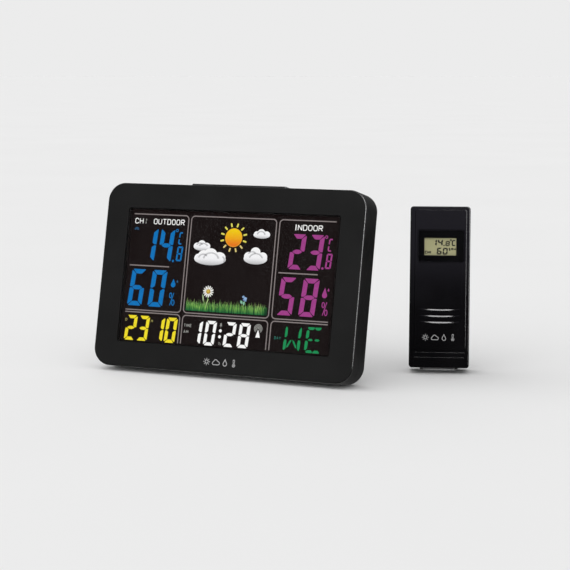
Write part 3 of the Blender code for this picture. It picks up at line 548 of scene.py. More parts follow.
def outer_faces(skin, margin, corner_reach):
    """Faces on the sides of the case, with their depth and how far they turn to
    the front or back."""
    for face in skin.data.polygons:
        mid = (TO_SLAB @ face.center) / MM
        normal = (TO_SLAB.to_3x3() @ face.normal).normalized()
        across, along = abs(mid.x), abs(mid.z - MID)
        in_corner = across > HALF - CASE_R and along > MID - CASE_R
        from_axis = math.hypot(across - HALF + CASE_R, along - MID + CASE_R)
        if (across > HALF - margin or along > MID - margin
                or (in_corner and from_axis > corner_reach)):
            yield face, mid.y, abs(normal.y)


# front bezel
bezel = Shell("bezel", slab(0, MID, CASE_W, CASE_H, CASE_R,
                            fillet(0, 1.0) + [(CASE_SPLIT, 0.0)], 20), CONSOLE)
bezel.cut(slab(*CAVITY, [(FRONT_T, 0.0), (CASE_SPLIT + 2, 0.0)], 12))
bezel.cut(slab(0, LENS_Z, LENS_W + 2 * GAP, LENS_H + 2 * GAP, 2.2,
               [(-1.0, 0.0), (LENS_FRONT + LENS_T + GAP, 0.0)], 6))
bezel.cut(box((-WINDOW_W / 2, -1, LENS_Z - WINDOW_H / 2),
              (WINDOW_W / 2, FRONT_T + 1, LENS_Z + WINDOW_H / 2)))
for x, z in SCREWS:
    bezel.join(y_rod(3.1, x, z, FRONT_T - 1, 11.2, 28))
    bezel.cut(y_rod(1.55, x, z, 4.2, 12, 20))
bezel.cut(snooze_slot())
bezel_skin = bezel.done("case_black", "console", "front_bezel", "case_black")

# the front rim is polished; the side walls round it are spark-eroded and darker than the
# front, painted shade for the sides that face away from the light
dress(bezel_skin, "case_black", "case_rim", "case_side_painted_shade")
for face, depth, turn in outer_faces(bezel_skin, margin=1.2, corner_reach=11.2):
    if turn < 0.985:
        face.material_index = 1 if depth < 1.05 else 2

# back shell: outside, cavity and screw posts
rear = Shell("back_shell", slab(0, MID, CASE_W, CASE_H, CASE_R,
                                [(CASE_SPLIT + GAP, 0.0)]
                                + fillet(CASE_D, 1.6, back=True), 20), CONSOLE)
rear.cut(slab(*CAVITY, [(CASE_SPLIT - 2, 0.0), (BACK_IN, 0.0)], 12))
for x, z in SCREWS:
    rear.join(y_rod(4.2, x, z, 11.5, BACK_IN + 1, 28))
    rear.cut(soft_hole(x, z, 6.4, 6.4, 3.19, CASE_D, 13.9, 0.3))
    rear.cut(y_rod(1.6, x, z, 10.8, 15, 20))
# recess of the stand, its hinge bore and a finger notch
RECESS_X = STAND_W / 2 + 1.6
NOTCH_Z = HINGE_Z + STAND_L + 0.5
rear.join(box((-RECESS_X - 1.4, HINGE_Y - 4.0, 1.0),
              (RECESS_X + 1.4, BACK_IN + 0.7, HINGE_Z + 5.2)))
rear.join(box((-RECESS_X - 1.4, HINGE_Y - 1.2, HINGE_Z + 3.0),
              (RECESS_X + 1.4, BACK_IN + 0.8, HINGE_Z + STAND_L + 3.4)))
rear.cut(box((-RECESS_X, HINGE_Y - 2.8, HINGE_Z - 3.6),
             (RECESS_X, CASE_D + 2, HINGE_Z + 4.0)))
rear.cut(box((-RECESS_X, HINGE_Y, HINGE_Z + 2.0),
             (RECESS_X, CASE_D + 3, HINGE_Z + STAND_L + 2.0)))
rear.cut(rod(1.55, (-RECESS_X - 3, HINGE_Y, HINGE_Z), (RECESS_X + 3, HINGE_Y, HINGE_Z),
             20))
rear.cut(y_rod(9.0, 0, NOTCH_Z, HINGE_Y + 1.0, CASE_D + 2, 48))
# battery bay and the seat of its cover
rear.join(box((-BAY_X - 1.2, BAY_FLOOR - 0.9, BAY_LOW - 1.2),
              (BAY_X + 1.2, BACK_IN + 0.6, BAY_TOP + 1.2)))
rear.cut(box((-BAY_X, BAY_FLOOR, BAY_LOW), (BAY_X, CASE_D + 2, BAY_TOP)))
rear.cut(soft_hole(0, BAY_MID, 2 * BAY_X + 5.2, BAY_H + 5.2, 2.0,
                   CASE_D, CASE_D - 1.3, 0.2))
for x in BUTTON_X:
    rear.cut(soft_hole(x, BUTTON_Z, BUTTON_W + 2 * GAP, BUTTON_H + 2 * GAP,
                       BUTTON_H / 2 + GAP - 0.01, CASE_D, BACK_IN - 2, 0.3))
rear.cut(snooze_slot())
# keyhole, a ring of small holes, a row of slots, a round hole low at one side
THROUGH = [(BACK_IN - 1, 0.0), (CASE_D + 1, 0.0)]
rear.cut(soft_hole(0, 117.0, 6.8, 6.8, 3.39, CASE_D, BACK_IN - 1, 0.3))
rear.cut(slab(0, 119.7, 3.6, 5.4, 1.5, THROUGH, 8))
rear.cut(merge([y_rod(0.8, 66 + x, 62 + z, BACK_IN - 1, CASE_D + 1, 20)
                for x, z in ((0, 0), (3, 0), (-3, 0), (1.5, 2.6), (-1.5, 2.6),
                             (1.5, -2.6), (-1.5, -2.6))]))
rear.cut(merge([slab(62.8 + 4 * i, 87, 1.6, 14, 0.79, THROUGH, 5) for i in range(7)]))
rear.cut(soft_hole(-78, 26, 7.8, 7.8, 3.89, CASE_D, BACK_IN - 1, 0.3))
# the flat the case rests on
rear.cut_in_world(box((-HALF - 5, -30, -12), (HALF + 5, 60, 0)))
back_skin = rear.done("case_black_back", "console", "rear_cover", "case_black")
# the back's side walls get the same painted shade, darker than the back itself
dress(back_skin, "case_black_back", "case_side_painted_shade")
for face, depth, turn in outer_faces(back_skin, margin=1.0, corner_reach=11.4):
    if turn < 0.3:
        face.material_index = 1

# snooze bar
bar = Shell("snooze_key", slab(0, (SNOOZE_FRONT + SNOOZE_BACK) / 2, SNOOZE_W,
                               SNOOZE_BACK - SNOOZE_FRONT, 1.4, [(125.2, 0.0)]
                               + fillet(CASE_H + SNOOZE_RISE, 0.9, back=True),
                               8, upright=True), CONSOLE)
bar.join(box((-SNOOZE_W / 2 - 1.8, SNOOZE_FRONT - 1.6, 124.9),
             (SNOOZE_W / 2 + 1.8, SNOOZE_BACK - 0.1, 126.1)))
bar.join(rod(2.0, (0, 10.6, 116.5), (0, 10.6, 125.8), 24))
bar.done("snooze_black", "snooze_bar", "snooze_bar", "button_black")

# keys on the back, each with a flange and a plunger
for name, x in zip(BUTTONS, BUTTON_X):
    key = Shell(name + "_cap", slab(x, BUTTON_Z, BUTTON_W, BUTTON_H, BUTTON_H / 2 - 0.01,
                                    [(19.0, 0.0)]
                                    + fillet(CASE_D + BUTTON_RISE, 0.55, 5, back=True),
                                    14), CONSOLE)
    key.join(box((x - 7.1, 18.6, BUTTON_Z - 4.1), (x + 7.1, 19.6, BUTTON_Z + 4.1)))
    key.join(y_rod(1.5, x, BUTTON_Z, 17.9, 19.0, 20))
    key.done("key_rubber", name, name, "button_black")

# battery cover with its catch on top and two tabs below
lid = Shell("cell_door", slab(0, BAY_MID, 2 * BAY_X + 4.6, BAY_H + 4.6, 1.7,
                              [(CASE_D - 1.0, 0.0)]
                              + fillet(CASE_D, 0.25, 3, back=True), 8), CONSOLE)
lid.cut(slab(0, BAY_TOP - 0.5, 12.0, 2.2, 0.6,
             [(CASE_D - 0.5, 0.0), (CASE_D + 1, 0.0)], 5))
lid.join(box((-5, CASE_D - 2.6, BAY_TOP - 1.0), (5, CASE_D - 0.7, BAY_TOP - 0.3)))
for x in (-18, 18):
    lid.join(box((x - 3, CASE_D - 2.4, BAY_LOW + 0.3),
                 (x + 3, CASE_D - 0.7, BAY_LOW + 1.0)))
lid.done("case_black_back", "battery_cover", "battery_cover", "case_black")

# the stand in the frame of its hinge, opened until its outer edge meets the floor
edge = STAND_OFFSET + STAND_T
hinge_height = -(HINGE_Y * math.sin(lean)) + HINGE_Z * math.cos(lean) + case_z
edge_cos = STAND_L * math.cos(lean) - edge * math.sin(lean)
edge_sin = STAND_L * math.sin(lean) + edge * math.cos(lean)
stand_angle = (math.acos(-hinge_height / math.hypot(edge_cos, edge_sin))
               - math.atan2(edge_sin, edge_cos))
HINGE = (CONSOLE @ Matrix.Translation((0, HINGE_Y * MM, HINGE_Z * MM))
         @ Matrix.Rotation(-stand_angle, 4, "X"))
leg = Shell("stand_leg", rod(2.4, (-STAND_W / 2, 0, 0), (STAND_W / 2, 0, 0), 40), HINGE)
leg.join(slab(0, STAND_L / 2, STAND_W - 0.8, STAND_L, 4.0,
              [(STAND_OFFSET, 0.3), (STAND_OFFSET + 0.3, 0.0), (edge - 0.3, 0.0),
               (edge, 0.3)], 12))
leg.join(box((-STAND_W / 2 + 0.2, STAND_OFFSET - 0.4, -0.2),
             (STAND_W / 2 - 0.2, edge - 0.1, 5.0)))
leg.join(rod(1.25, (-STAND_W / 2 - 2.4, 0, 0), (STAND_W / 2 + 2.4, 0, 0), 24))
leg.cut(y_rod(6.0, 0, STAND_L + 3.2, -3, 6, 48))
leg.done("case_black_back", "stand", "stand", "case_black")

# display lens: clear plate, its black border printed on the back
lens = add_plate("clear_lens", slab(0, LENS_Z, LENS_W, LENS_H, 2.0,
                                    [(LENS_FRONT, 0.25), (LENS_FRONT + 0.25, 0.0),
                                     (LENS_FRONT + LENS_T, 0.0)], 6),
                 "display_window", CONSOLE, "console")
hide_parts("display_lens")
add_plate("lens_border", frame_plate((0, LENS_Z, LENS_W - 0.3, LENS_H - 0.3, 1.8),
                                     (0, LENS_Z, WINDOW_W - 0.4, WINDOW_H - 0.4, 0.3),
                                     1.61, 1.66),
          "lcd_black", CONSOLE, "console")

# ---------------------------------------------------------- sensor shells ----
SENSOR_MID = SENSOR_H / 2
SENSOR_OUTLINE = (0, SENSOR_MID, SENSOR_W, SENSOR_H, SENSOR_R)
SENSOR_CAVITY = (0, SENSOR_MID, SENSOR_W - 2 * SENSOR_WALL, SENSOR_H - 2 * SENSOR_WALL,
                 1.0)
SMALL_LENS_X, SMALL_LENS_Z, SMALL_LENS_W, SMALL_LENS_H = 0.6, 84.0, 31.4, 21.6
SENSOR_SCREWS = ((-14.2, 106.0), (14.2, 106.0), (0.0, 25.0))
PANEL = (0.4, 60.7, 35.6, 97.0, 1.4)  # raised front: x, z, width, height, radius
SENSOR_STAND_L = 38.0
DOOR_Z = 72.3


def louvre(z, steps=24, half=13.3, rise=0.6, deep=0.74, fall=1.08, x=SMALL_LENS_X,
           even=False, y=0.0):
    """Groove with a steep upper lip and a slope that runs out below; lens-shaped
    unless even. y is the depth of the face it is cut in."""
    sections = []
    for i in range(steps + 1):
        place = -1 + 2 * i / steps
        full = 1.0 if even else 1 - place * place
        up = rise * full + 0.06
        low = fall * (0.25 + 0.75 * full) + 0.06
        floor_y = deep * full + 0.03
        profile = ((-1.0, -low), (-1.0, up), (floor_y, up * 0.8),
                   (floor_y, 0.2 * fall * full), (0.0, -low))
        sections.append([(x + half * place, y + in_y, z + in_z) for in_y, in_z in profile])
    return loft(sections)


# front
face = Shell("sensor_face", slab(*SENSOR_OUTLINE,
                                 fillet(0.4, 0.8) + [(SENSOR_SPLIT, 0.0)], 12), SENSOR)
face.join(slab(*PANEL, fillet(0.0, 0.35, 5) + [(1.2, 0.0)], 8))
face.cut(slab(*SENSOR_CAVITY, [(2.0, 0.0), (SENSOR_SPLIT + 2, 0.0)], 4))
face.cut(soft_hole(SMALL_LENS_X, SMALL_LENS_Z, SMALL_LENS_W + 2 * GAP,
                   SMALL_LENS_H + 2 * GAP, 1.6, 0.0, 1.5, 0.35, front=True))
face.cut(box((SMALL_LENS_X - 13.0, -1, SMALL_LENS_Z - 8.0),
             (SMALL_LENS_X + 13.0, 3, SMALL_LENS_Z + 8.0)))
face.cut(merge([louvre(z) for z in (40.6, 36.2, 31.9)]))
face.cut(merge([louvre(z, steps=1, half=17.3, rise=0.22, deep=0.15, fall=0.26, x=0.3,
                       even=True, y=0.4) for z in (10.7, 7.3)]))
for x, z in SENSOR_SCREWS:
    face.join(y_rod(2.6, x, z, 1.6, 9.4, 24))
    face.cut(y_rod(1.25, x, z, 3.4, 10, 20))
face.done("sensor_black", "sensor", "sensor_front_case", "sensor_case", smooth=20)

# back, with the battery bays, the stand's recess, screw posts and a keyhole
hull = Shell("sensor_back", slab(*SENSOR_OUTLINE, [(SENSOR_SPLIT + GAP, 0.0)]
                                 + fillet(SENSOR_D, 0.8, 5, back=True), 12), SENSOR)
hull.cut(slab(*SENSOR_CAVITY, [(SENSOR_SPLIT - 2, 0.0), (SENSOR_D - SENSOR_WALL, 0.0)],
              4))
hull.join(box((-17.2, 10.9, 0.7), (17.2, SENSOR_D - 0.9, 9.4)))
hull.join(box((-15.0, 16.2, 6.0), (15.0, SENSOR_D - 0.8, 43.6)))
hull.join(box((-13.4, 6.6, 42.4), (13.4, SENSOR_D - 0.7, 101.2)))
hull.cut(box((-12.2, 7.6, 50.4), (12.2, SENSOR_D + 1, 100.0)))
hull.cut(box((-12.2, 7.6, 43.6), (12.2, SENSOR_D + 1, 49.6)))
hull.cut(box((-9.4, 5, 44.3), (9.4, 9, 49.0)))
hull.cut(soft_hole(0, DOOR_Z, 28.4, 59.4, 1.5, SENSOR_D, SENSOR_D - 1.4, 0.2))
hull.cut(box((-13.7, 17.4, -1),
             (13.7, SENSOR_D + 1, SENSOR_HINGE_Z + SENSOR_STAND_L + 0.6)))
for side in (-1, 1):
    for radius, start, end, segments in (
            (FOOT_R + 0.4, side * FOOT_X - FOOT_T / 2 - GAP,
             side * FOOT_X + FOOT_T / 2 + GAP, 40),
            (1.35, side * 12.0, side * 16.0, 20)):
        hull.cut(rod(radius, (start, SENSOR_HINGE_Y, SENSOR_HINGE_Z),
                     (end, SENSOR_HINGE_Y, SENSOR_HINGE_Z), segments))
for x, z in SENSOR_SCREWS:
    post_end = SENSOR_D - SENSOR_WALL + 0.7 if z > 50 else 16.8
    hull.join(y_rod(3.3, x, z, 9.9, post_end, 24))
    hull.cut(y_rod(2.5, x, z, 12.4, SENSOR_D + 1, 28))
    hull.cut(y_rod(1.3, x, z, 9, 13, 20))
hull.cut(y_rod(2.4, 0, 105.2, 17, 22, 32))
hull.cut(slab(0, 107.2, 2.6, 4.0, 1.1, [(17, 0.0), (22, 0.0)], 6))
hull.done("sensor_black", "sensor", "sensor_rear_case", "sensor_case")

# battery cover
door = Shell("sensor_door", slab(0, DOOR_Z, 27.8, 58.8, 1.2, [(SENSOR_D - 1.1, 0.0)]
                                 + fillet(SENSOR_D, 0.25, 3, back=True), 6), SENSOR)
door.cut(slab(0, 98.6, 9.0, 1.8, 0.8, [(SENSOR_D - 0.5, 0.0), (SENSOR_D + 1, 0.0)], 5))
door.done("sensor_black", "sensor_battery_cover", "sensor_battery_cover", "sensor_case")

# lens and its printed border
small_lens = add_plate("sensor_clear_lens",
                       slab(SMALL_LENS_X, SMALL_LENS_Z, SMALL_LENS_W, SMALL_LENS_H, 1.4,
                            [(0.4, 0.2), (0.6, 0.0), (1.2, 0.0)], 6),
                       "sensor_window", SENSOR, "sensor")
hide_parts("sensor_lens")
add_plate("sensor_lens_border",
          frame_plate((SMALL_LENS_X, SMALL_LENS_Z, SMALL_LENS_W - 0.2,
                       SMALL_LENS_H - 0.2, 1.3), (0.1, 83.65, 21.9, 12.0, 0.15),
                      1.21, 1.26),
          "sensor_lens_print", SENSOR, "sensor")

# -------------------------------------------------------- display drawing ----
# Display places are in millimetres: x from the case's left edge, y down from its
# top edge. The whole drawing is shifted by DISPLAY_X and DISPLAY_Z.
DISPLAY_X, DISPLAY_Y, DISPLAY_Z = -0.9, 2.86, 0.12
WHITE = (255, 255, 255)


def spot(x, y, lift=0.0):
    return (x - HALF + DISPLAY_X, DISPLAY_Y - lift, CASE_H - y + DISPLAY_Z)


class Plates:
    """Collects thin plates with a tint (0..255 values) stored at their corners."""

    def __init__(self, place=spot, thick=0.04, facing=-1):
        """facing is -1 where the plates face the front of the slab, 1 the back."""
        self.shape = bmesh.new()
        self.layer = self.shape.loops.layers.color.new("tint")
        self.place, self.thick, self.facing = place, thick, facing

    def _stored(self, tint):
        return tuple(max(0.0, min(1.0, v / 255.0)) for v in tint) + (1.0,)

    def _face(self, corners, tints, turn=True):
        face = self.shape.faces.new(corners)
        if turn:
            face.normal_update()
            if face.normal.y * self.facing < 0:
                face.normal_flip()
        for loop in face.loops:
            loop[self.layer] = tints[loop.vert]

    def poly(self, points, tint=WHITE, lift=0.0, sides=True):
        """Filled outline. tint is one colour or a function of x, y."""
        colours = [self._stored(tint(x, y) if callable(tint) else tint)
                   for x, y in points]
        front = [self.shape.verts.new(self.place(x, y, lift)) for x, y in points]
        tints = dict(zip(front, colours))
        self._face(front, tints)
        if not sides:
            return
        step = Vector((0, self.thick * self.facing, 0))
        rear = [self.shape.verts.new(Vector(self.place(x, y, lift)) - step)
                for x, y in points]
        tints.update(zip(rear, colours))
        for i in range(len(points)):
            j = (i + 1) % len(points)
            self._face((front[i], front[j], rear[j], rear[i]), tints, turn=False)

    def fan(self, outline, centre, tint, lift, ring_count):
        """Outline filled by rings round its centre, tint from a function."""
        tints = {}
        rings = []
        for k in range(1, ring_count + 1):
            share = k / ring_count
            ring = []
            for x, y in outline:
                x = centre[0] + (x - centre[0]) * share
                y = centre[1] + (y - centre[1]) * share
                ring.append(self.shape.verts.new(self.place(x, y, lift)))
                tints[ring[-1]] = self._stored(tint(x, y))
            rings.append(ring)
        hub = self.shape.verts.new(self.place(*centre, lift))
        tints[hub] = self._stored(tint(*centre))
        for i in range(len(outline)):
            j = (i + 1) % len(outline)
            self._face((hub, rings[0][i], rings[0][j]), tints)
            for ring, after in zip(rings, rings[1:]):
                self._face((ring[i], after[i], after[j], ring[j]), tints)

    def ribbon(self, points, width, tint=WHITE, closed=False, lift=0.0):
        """Band of even width along a path, its corners mitred."""
        count = len(points)
        left, right = [], []
        for i, (x, y) in enumerate(points):
            ways = []
            if i or closed:
                before = points[i - 1]
                ways.append(Vector((x - before[0], y - before[1])).normalized())
            if i < count - 1 or closed:
                after = points[(i + 1) % count]
                ways.append(Vector((after[0] - x, after[1] - y)).normalized())
            along = sum(ways, Vector((0, 0)))
            along = along.normalized() if along.length > 1e-6 else ways[0]
            normal = Vector((-along.y, along.x))
            mitre = max(normal.dot(Vector((-ways[0].y, ways[0].x))), 0.45)
            offset = normal * (width / 2 / mitre)
            left.append((x + offset.x, y + offset.y))
            right.append((x - offset.x, y - offset.y))
        for i in range(count if closed else count - 1):
            j = (i + 1) % count
            self.poly([left[i], left[j], right[j], right[i]], tint, lift, False)

    def disc(self, x, y, radius, corners=20):
        self.poly(arc(x, y, radius, radius, 0, 360 - 360 / corners, corners - 1))

    def done(self, name, material, base=CONSOLE, body="console", slot="lcd_glass"):
        obj = place_object(name, self.shape, base)
        dress(obj, material)
        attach(obj, body)


# ---- digits and signs
SEGMENTS = {"0": "abcdef", "1": "bc", "2": "abged", "3": "abgcd", "4": "fgbc",
            "5": "afgcd", "6": "afgedc", "7": "abc", "8": "abcdefg", "9": "abcdfg"}
# segment: the drawn one it mirrors, left to right, top to bottom
MIRRORED = {"b": ("f", True, False), "e": ("f", False, True), "c": ("f", True, True),
            "d": ("a", False, True)}
SLANT = 0.08


def segment_outlines(wide, high, upright, level, gap, bow):
    """Top, middle and upper left segment of a digit that isn't slanted yet."""
    half, mid = gap / 2, high / 2
    nip = min(0.9, upright * 0.4)
    top = [(nip + half * 2, 0), (nip * 0.6 + half * 2.2, nip * 0.35),
           (upright + half * 0.6, level), (upright + bow + 0.6, level + bow * 0.5)]
    bar = [(upright * 0.42 + half * 2, 0), (upright * 0.72 + half * 2, level * 0.3),
           (upright + half * 2 + 0.5, level * 0.5)]
    return {
        "a": top[:1] + [(wide - x, y) for x, y in top] + top[:0:-1],
        "g": [(x, mid - y) for x, y in bar] + [(wide - x, mid - y) for x, y in bar[::-1]]
        + [(wide - x, mid + y) for x, y in bar[1:]] + [(x, mid + y) for x, y in bar[:0:-1]],
        "f": [(nip * 0.3, nip * 0.7 + half * 1.6),
              (upright * 0.45, level * 0.45 + half * 2), (upright, level + half * 2.4),
              (upright, mid - level * 0.5 - half), (upright * 0.5, mid - half * 2.2),
              (nip * 0.35, mid - half * 2.2), (0, mid - half * 2.2 - nip * 0.4),
              (0, nip * 1.1 + half * 2)],
    }


def digit(plates, char, left, top, wide, high, upright, level, gap=0.34, bow=0.35):
    """One slanted seven-segment digit. left is its left side at the bottom;
    upright and level are the thickness of its segments."""
    outlines = segment_outlines(wide, high, upright, level, gap, bow)
    for segment in SEGMENTS[char]:
        source, flip_x, flip_y = MIRRORED.get(segment, (segment, False, False))
        points = [(wide - x if flip_x else x, high - y if flip_y else y)
                  for x, y in outlines[source]]
        plates.poly([(left + x + SLANT * (high - y), top + y) for x, y in points])


def degree_c(plates, x, y):
    """Ring and a C made of two bent strokes."""
    plates.ribbon(arc(x + 1.1, y + 1.15, 0.8, 0.85, 0, 345, 15), 0.55, closed=True)
    x, y = x + 3.4, y + 2.6
    plates.ribbon([(x + 2.3, y), (x + 0.8, y), (x + 0.25, y + 0.6), (x, y + 3.3)], 0.95)
    plates.ribbon([(x - 0.15, y + 4.6), (x - 0.35, y + 7.0), (x + 0.1, y + 7.7),
                   (x + 1.7, y + 7.7)], 0.95)


def drop_outline(x, y, top, radius, angles):
    """Tip at (x, top), then a round belly about (x, y)."""
    return [(x, top)] + [(x + radius * math.cos(math.radians(a)),
                          y + radius * math.sin(math.radians(a))) for a in angles]


def drop(plates, x, y, wide, high):
    radius = wide / 2
    plates.poly(drop_outline(x + radius, y + high - radius, y, radius,
                             range(-25, 206, 15)))


def percent(plates, x, y, line, size):
    for ring_x, ring_y, wide, high in ((1.1, 2.2, 0.85, 1.75), (3.4, 7.2, 0.9, 1.9)):
        plates.ribbon(arc(x + ring_x * size, y + ring_y * size, wide * size,
                          high * size, 0, 345, 13), line, closed=True)
    plates.ribbon([(x + 3.5 * size, y + 0.3 * size), (x + 1.0 * size, y + 9.2 * size)],
                  line)


def glyph(char, wide, high):
    """Strokes of a letter in a wide x high box, y down: (points, closed) pairs."""
    r = min(wide, high) * 0.42
    mid = high * 0.5

    def corner(x, y, start, end):
        return arc(x, y, r, r, start, end, 5)

    if char == "O":
        return [(corner(wide - r, r, -90, 0) + corner(wide - r, high - r, 0, 90)
                 + corner(r, high - r, 90, 180) + corner(r, r, 180, 270), True)]
    if char == "C":
        return [([(wide, r * 0.95)] + corner(wide - r, r, -15, -90)[1:]
                 + corner(r, r, 270, 180) + corner(r, high - r, 180, 90)
                 + corner(wide - r, high - r, 90, 15), False)]
    if char == "U":
        return [([(0, 0)] + corner(r, high - r, 180, 90)
                 + corner(wide - r, high - r, 90, 0) + [(wide, 0)], False)]
    if char == "D":
        return [([(0, 0)] + corner(wide - r, r, -90, 0)
                 + corner(wide - r, high - r, 0, 90) + [(0, high)], True)]
    if char in "RP":
        bowl = mid / 2
        out = [([(0, 0), (wide - bowl, 0)] + arc(wide - bowl, bowl, bowl, bowl, -90, 90)
                + [(0, mid)], False), ([(0, 0), (0, high)], False)]
        if char == "R":
            out.append(([(wide * 0.45, mid), (wide, high)], False))
        return out
    half = wide / 2
    left, right = [(0, 0), (0, high)], [(wide, 0), (wide, high)]
    upright = [(half, 0), (half, high)]
    strokes = {
        "H": [left, right, [(0, mid), (wide, mid)]],
        "T": [[(0, 0), (wide, 0)], upright],
        "I": [upright],
        "1": [upright],
        "N": [left[::-1], [(0, 0), (wide, high)], right[::-1]],
        "M": [left[::-1], [(0, 0), (half, high * 0.62)], [(half, high * 0.62), (wide, 0)],
              right],
        "E": [[(wide, 0), (0, 0), (0, high), (wide, high)], [(0, mid), (wide * 0.9, mid)]],
        "A": [[(0, high), (half, 0), (wide, high)],
              [(wide * 0.2, high * 0.68), (wide * 0.8, high * 0.68)]],
        "Y": [[(0, 0), (half, mid)], [(wide, 0), (half, mid)], [(half, mid), (half, high)]],
        "L": [[(0, 0), (0, high), (wide, high)]],
        "W": [[(0, 0), (wide * 0.28, high)], [(wide * 0.28, high), (half, high * 0.3)],
              [(half, high * 0.3), (wide * 0.72, high)], [(wide * 0.72, high), (wide, 0)]],
        "S": [[(wide, 0), (0, 0), (0, mid), (wide, mid), (wide, high), (0, high)]],
    }
    return [(points, False) for points in strokes[char]]


def word(plates, text, x, y, high, pitch, line, share=0.6, i_wide=None):
    """A row of stroke letters from their top left; share is letter width to pitch,
    i_wide the width of a narrow I."""
    for char in text:
        narrow = char == "I" and i_wide is not None
        wide = i_wide if narrow else pitch * share
        for points, closed in glyph(char, wide, high - line):
            plates.ribbon([(x + line / 2 + u, y + line / 2 + v) for u, v in points],
                          line, closed=closed)
        x += (line + wide + pitch * 0.12) if narrow else pitch


# ---- outdoor, indoor, date and time readings
# digit rows: character, left, top, width, height, upright and level thickness,
# then gap and bow where they differ
blue = Plates()
digit(blue, "1", 29.3, 30.8, 10.6, 23.7, 3.2, 2.9)
digit(blue, "4", 42.4, 30.8, 10.6, 23.7, 3.2, 2.9)
blue.disc(55.05, 53.2, 0.8)
digit(blue, "8", 57.0, 42.9, 4.4, 10.3, 1.15, 1.1, 0.18, 0.1)
degree_c(blue, 55.2, 30.8)
digit(blue, "6", 22.1, 60.1, 11.4, 25.6, 3.35, 3.0)
digit(blue, "0", 38.3, 60.1, 11.4, 25.6, 3.35, 3.0)
drop(blue, 55.2, 65.6, 3.5, 5.9)
percent(blue, 54.7, 75.0, 0.6, 0.98)
blue.done("digits_blue", "lit_blue")

dim_blue = Plates()
drop(dim_blue, 59.4, 66.2, 1.2, 1.9)
dim_blue.ribbon(arc(24.4, 32.1, 1.45, 1.1, 150, 390, 10), 0.45)
dim_blue.ribbon(arc(24.4, 32.3, 0.6, 0.5, 150, 390, 8), 0.4)
dim_blue.done("marks_blue", "dim_blue")

purple = Plates()
digit(purple, "2", 141.8, 30.7, 10.4, 23.8, 3.2, 2.9)
digit(purple, "3", 154.9, 30.7, 10.4, 23.8, 3.2, 2.9)
purple.disc(167.2, 52.9, 0.8)
digit(purple, "8", 168.8, 42.8, 4.2, 10.3, 1.15, 1.1, 0.18, 0.1)
degree_c(purple, 167.2, 30.7)
digit(purple, "5", 136.3, 60.1, 11.5, 25.6, 3.35, 3.0)
digit(purple, "8", 152.6, 60.1, 11.5, 25.6, 3.35, 3.0)
drop(purple, 168.6, 65.6, 3.6, 7.0)
drop(purple, 172.3, 65.8, 1.3, 2.3)
percent(purple, 169.0, 75.0, 0.6, 1.0)
purple.done("digits_purple", "lit_purple")

yellow = Plates()
for char, x in (("2", 22.1), ("3", 31.8), ("1", 43.8), ("0", 53.5)):
    digit(yellow, char, x, 92.5, 8.3, 17.4, 2.45, 2.2, 0.28, 0.2)
yellow.done("digits_yellow", "lit_yellow")
dim_yellow = Plates()
word(dim_yellow, "D", 22.0, 94.8, 1.9, 1.9, 0.42)
word(dim_yellow, "M", 42.3, 94.8, 1.9, 1.9, 0.42)
dim_yellow.done("marks_yellow", "dim_yellow")

white = Plates()
for char, x in (("1", 73.4), ("0", 83.9), ("2", 98.8), ("8", 109.4)):
    digit(white, char, x, 92.8, 8.1, 16.9, 2.3, 2.1, 0.28, 0.2)
white.disc(96.3, 99.1, 1.1)
white.disc(96.1, 103.2, 1.1)
word(white, "OUTDOOR", 37.25, 24.25, 4.0, 3.55, 0.55, share=0.68)
word(white, "CH", 22.5, 24.25, 4.0, 3.6, 0.55, share=0.68)
# the I of INDOOR, then the rest of the word
white.poly([(145.15, 24.25), (145.85, 24.25), (145.85, 28.25), (145.15, 28.25)])
word(white, "NDOOR", 146.9, 24.25, 4.0, 3.76, 0.55, share=0.70)
# mast of the radio sign
white.poly([(124.45, 96.6), (125.3, 98.8), (126.1, 101.9), (122.8, 101.9),
            (123.6, 98.8)])
white.done("digits_white", "lit_white")

grey = Plates()
word(grey, "TIME", 68.1, 95.9, 2.2, 1.8, 0.45, i_wide=0.2)
word(grey, "AM", 68.2, 100.2, 2.2, 2.1, 0.5)
for radius, opening in ((1.15, 46), (2.0, 40), (2.85, 36)):
    grey.ribbon(arc(124.4, 95.9, radius, radius, 90 + opening, 450 - opening, 22), 0.6)
grey.ribbon([(31.4, 24.6), (31.3, 26.0)], 0.8)
grey.ribbon([(31.2, 26.6), (31.1, 28.0)], 0.8)
grey.disc(124.45, 95.7, 0.55)
# alarm bell above the colon and a pair of waves below it
grey.poly([(95.6, 95.6), (95.8, 94.2), (96.4, 93.6), (97.0, 94.2), (97.2, 95.6),
           (97.6, 95.9), (95.2, 95.9)])
grey.disc(96.4, 96.4, 0.35)
grey.ribbon(arc(95.3, 108.9, 1.0, 1.0, -80, 0, 5), 0.4)
grey.ribbon(arc(95.3, 108.9, 2.0, 2.0, -80, 0, 6), 0.4)
grey.done("marks_grey", "lit_grey")

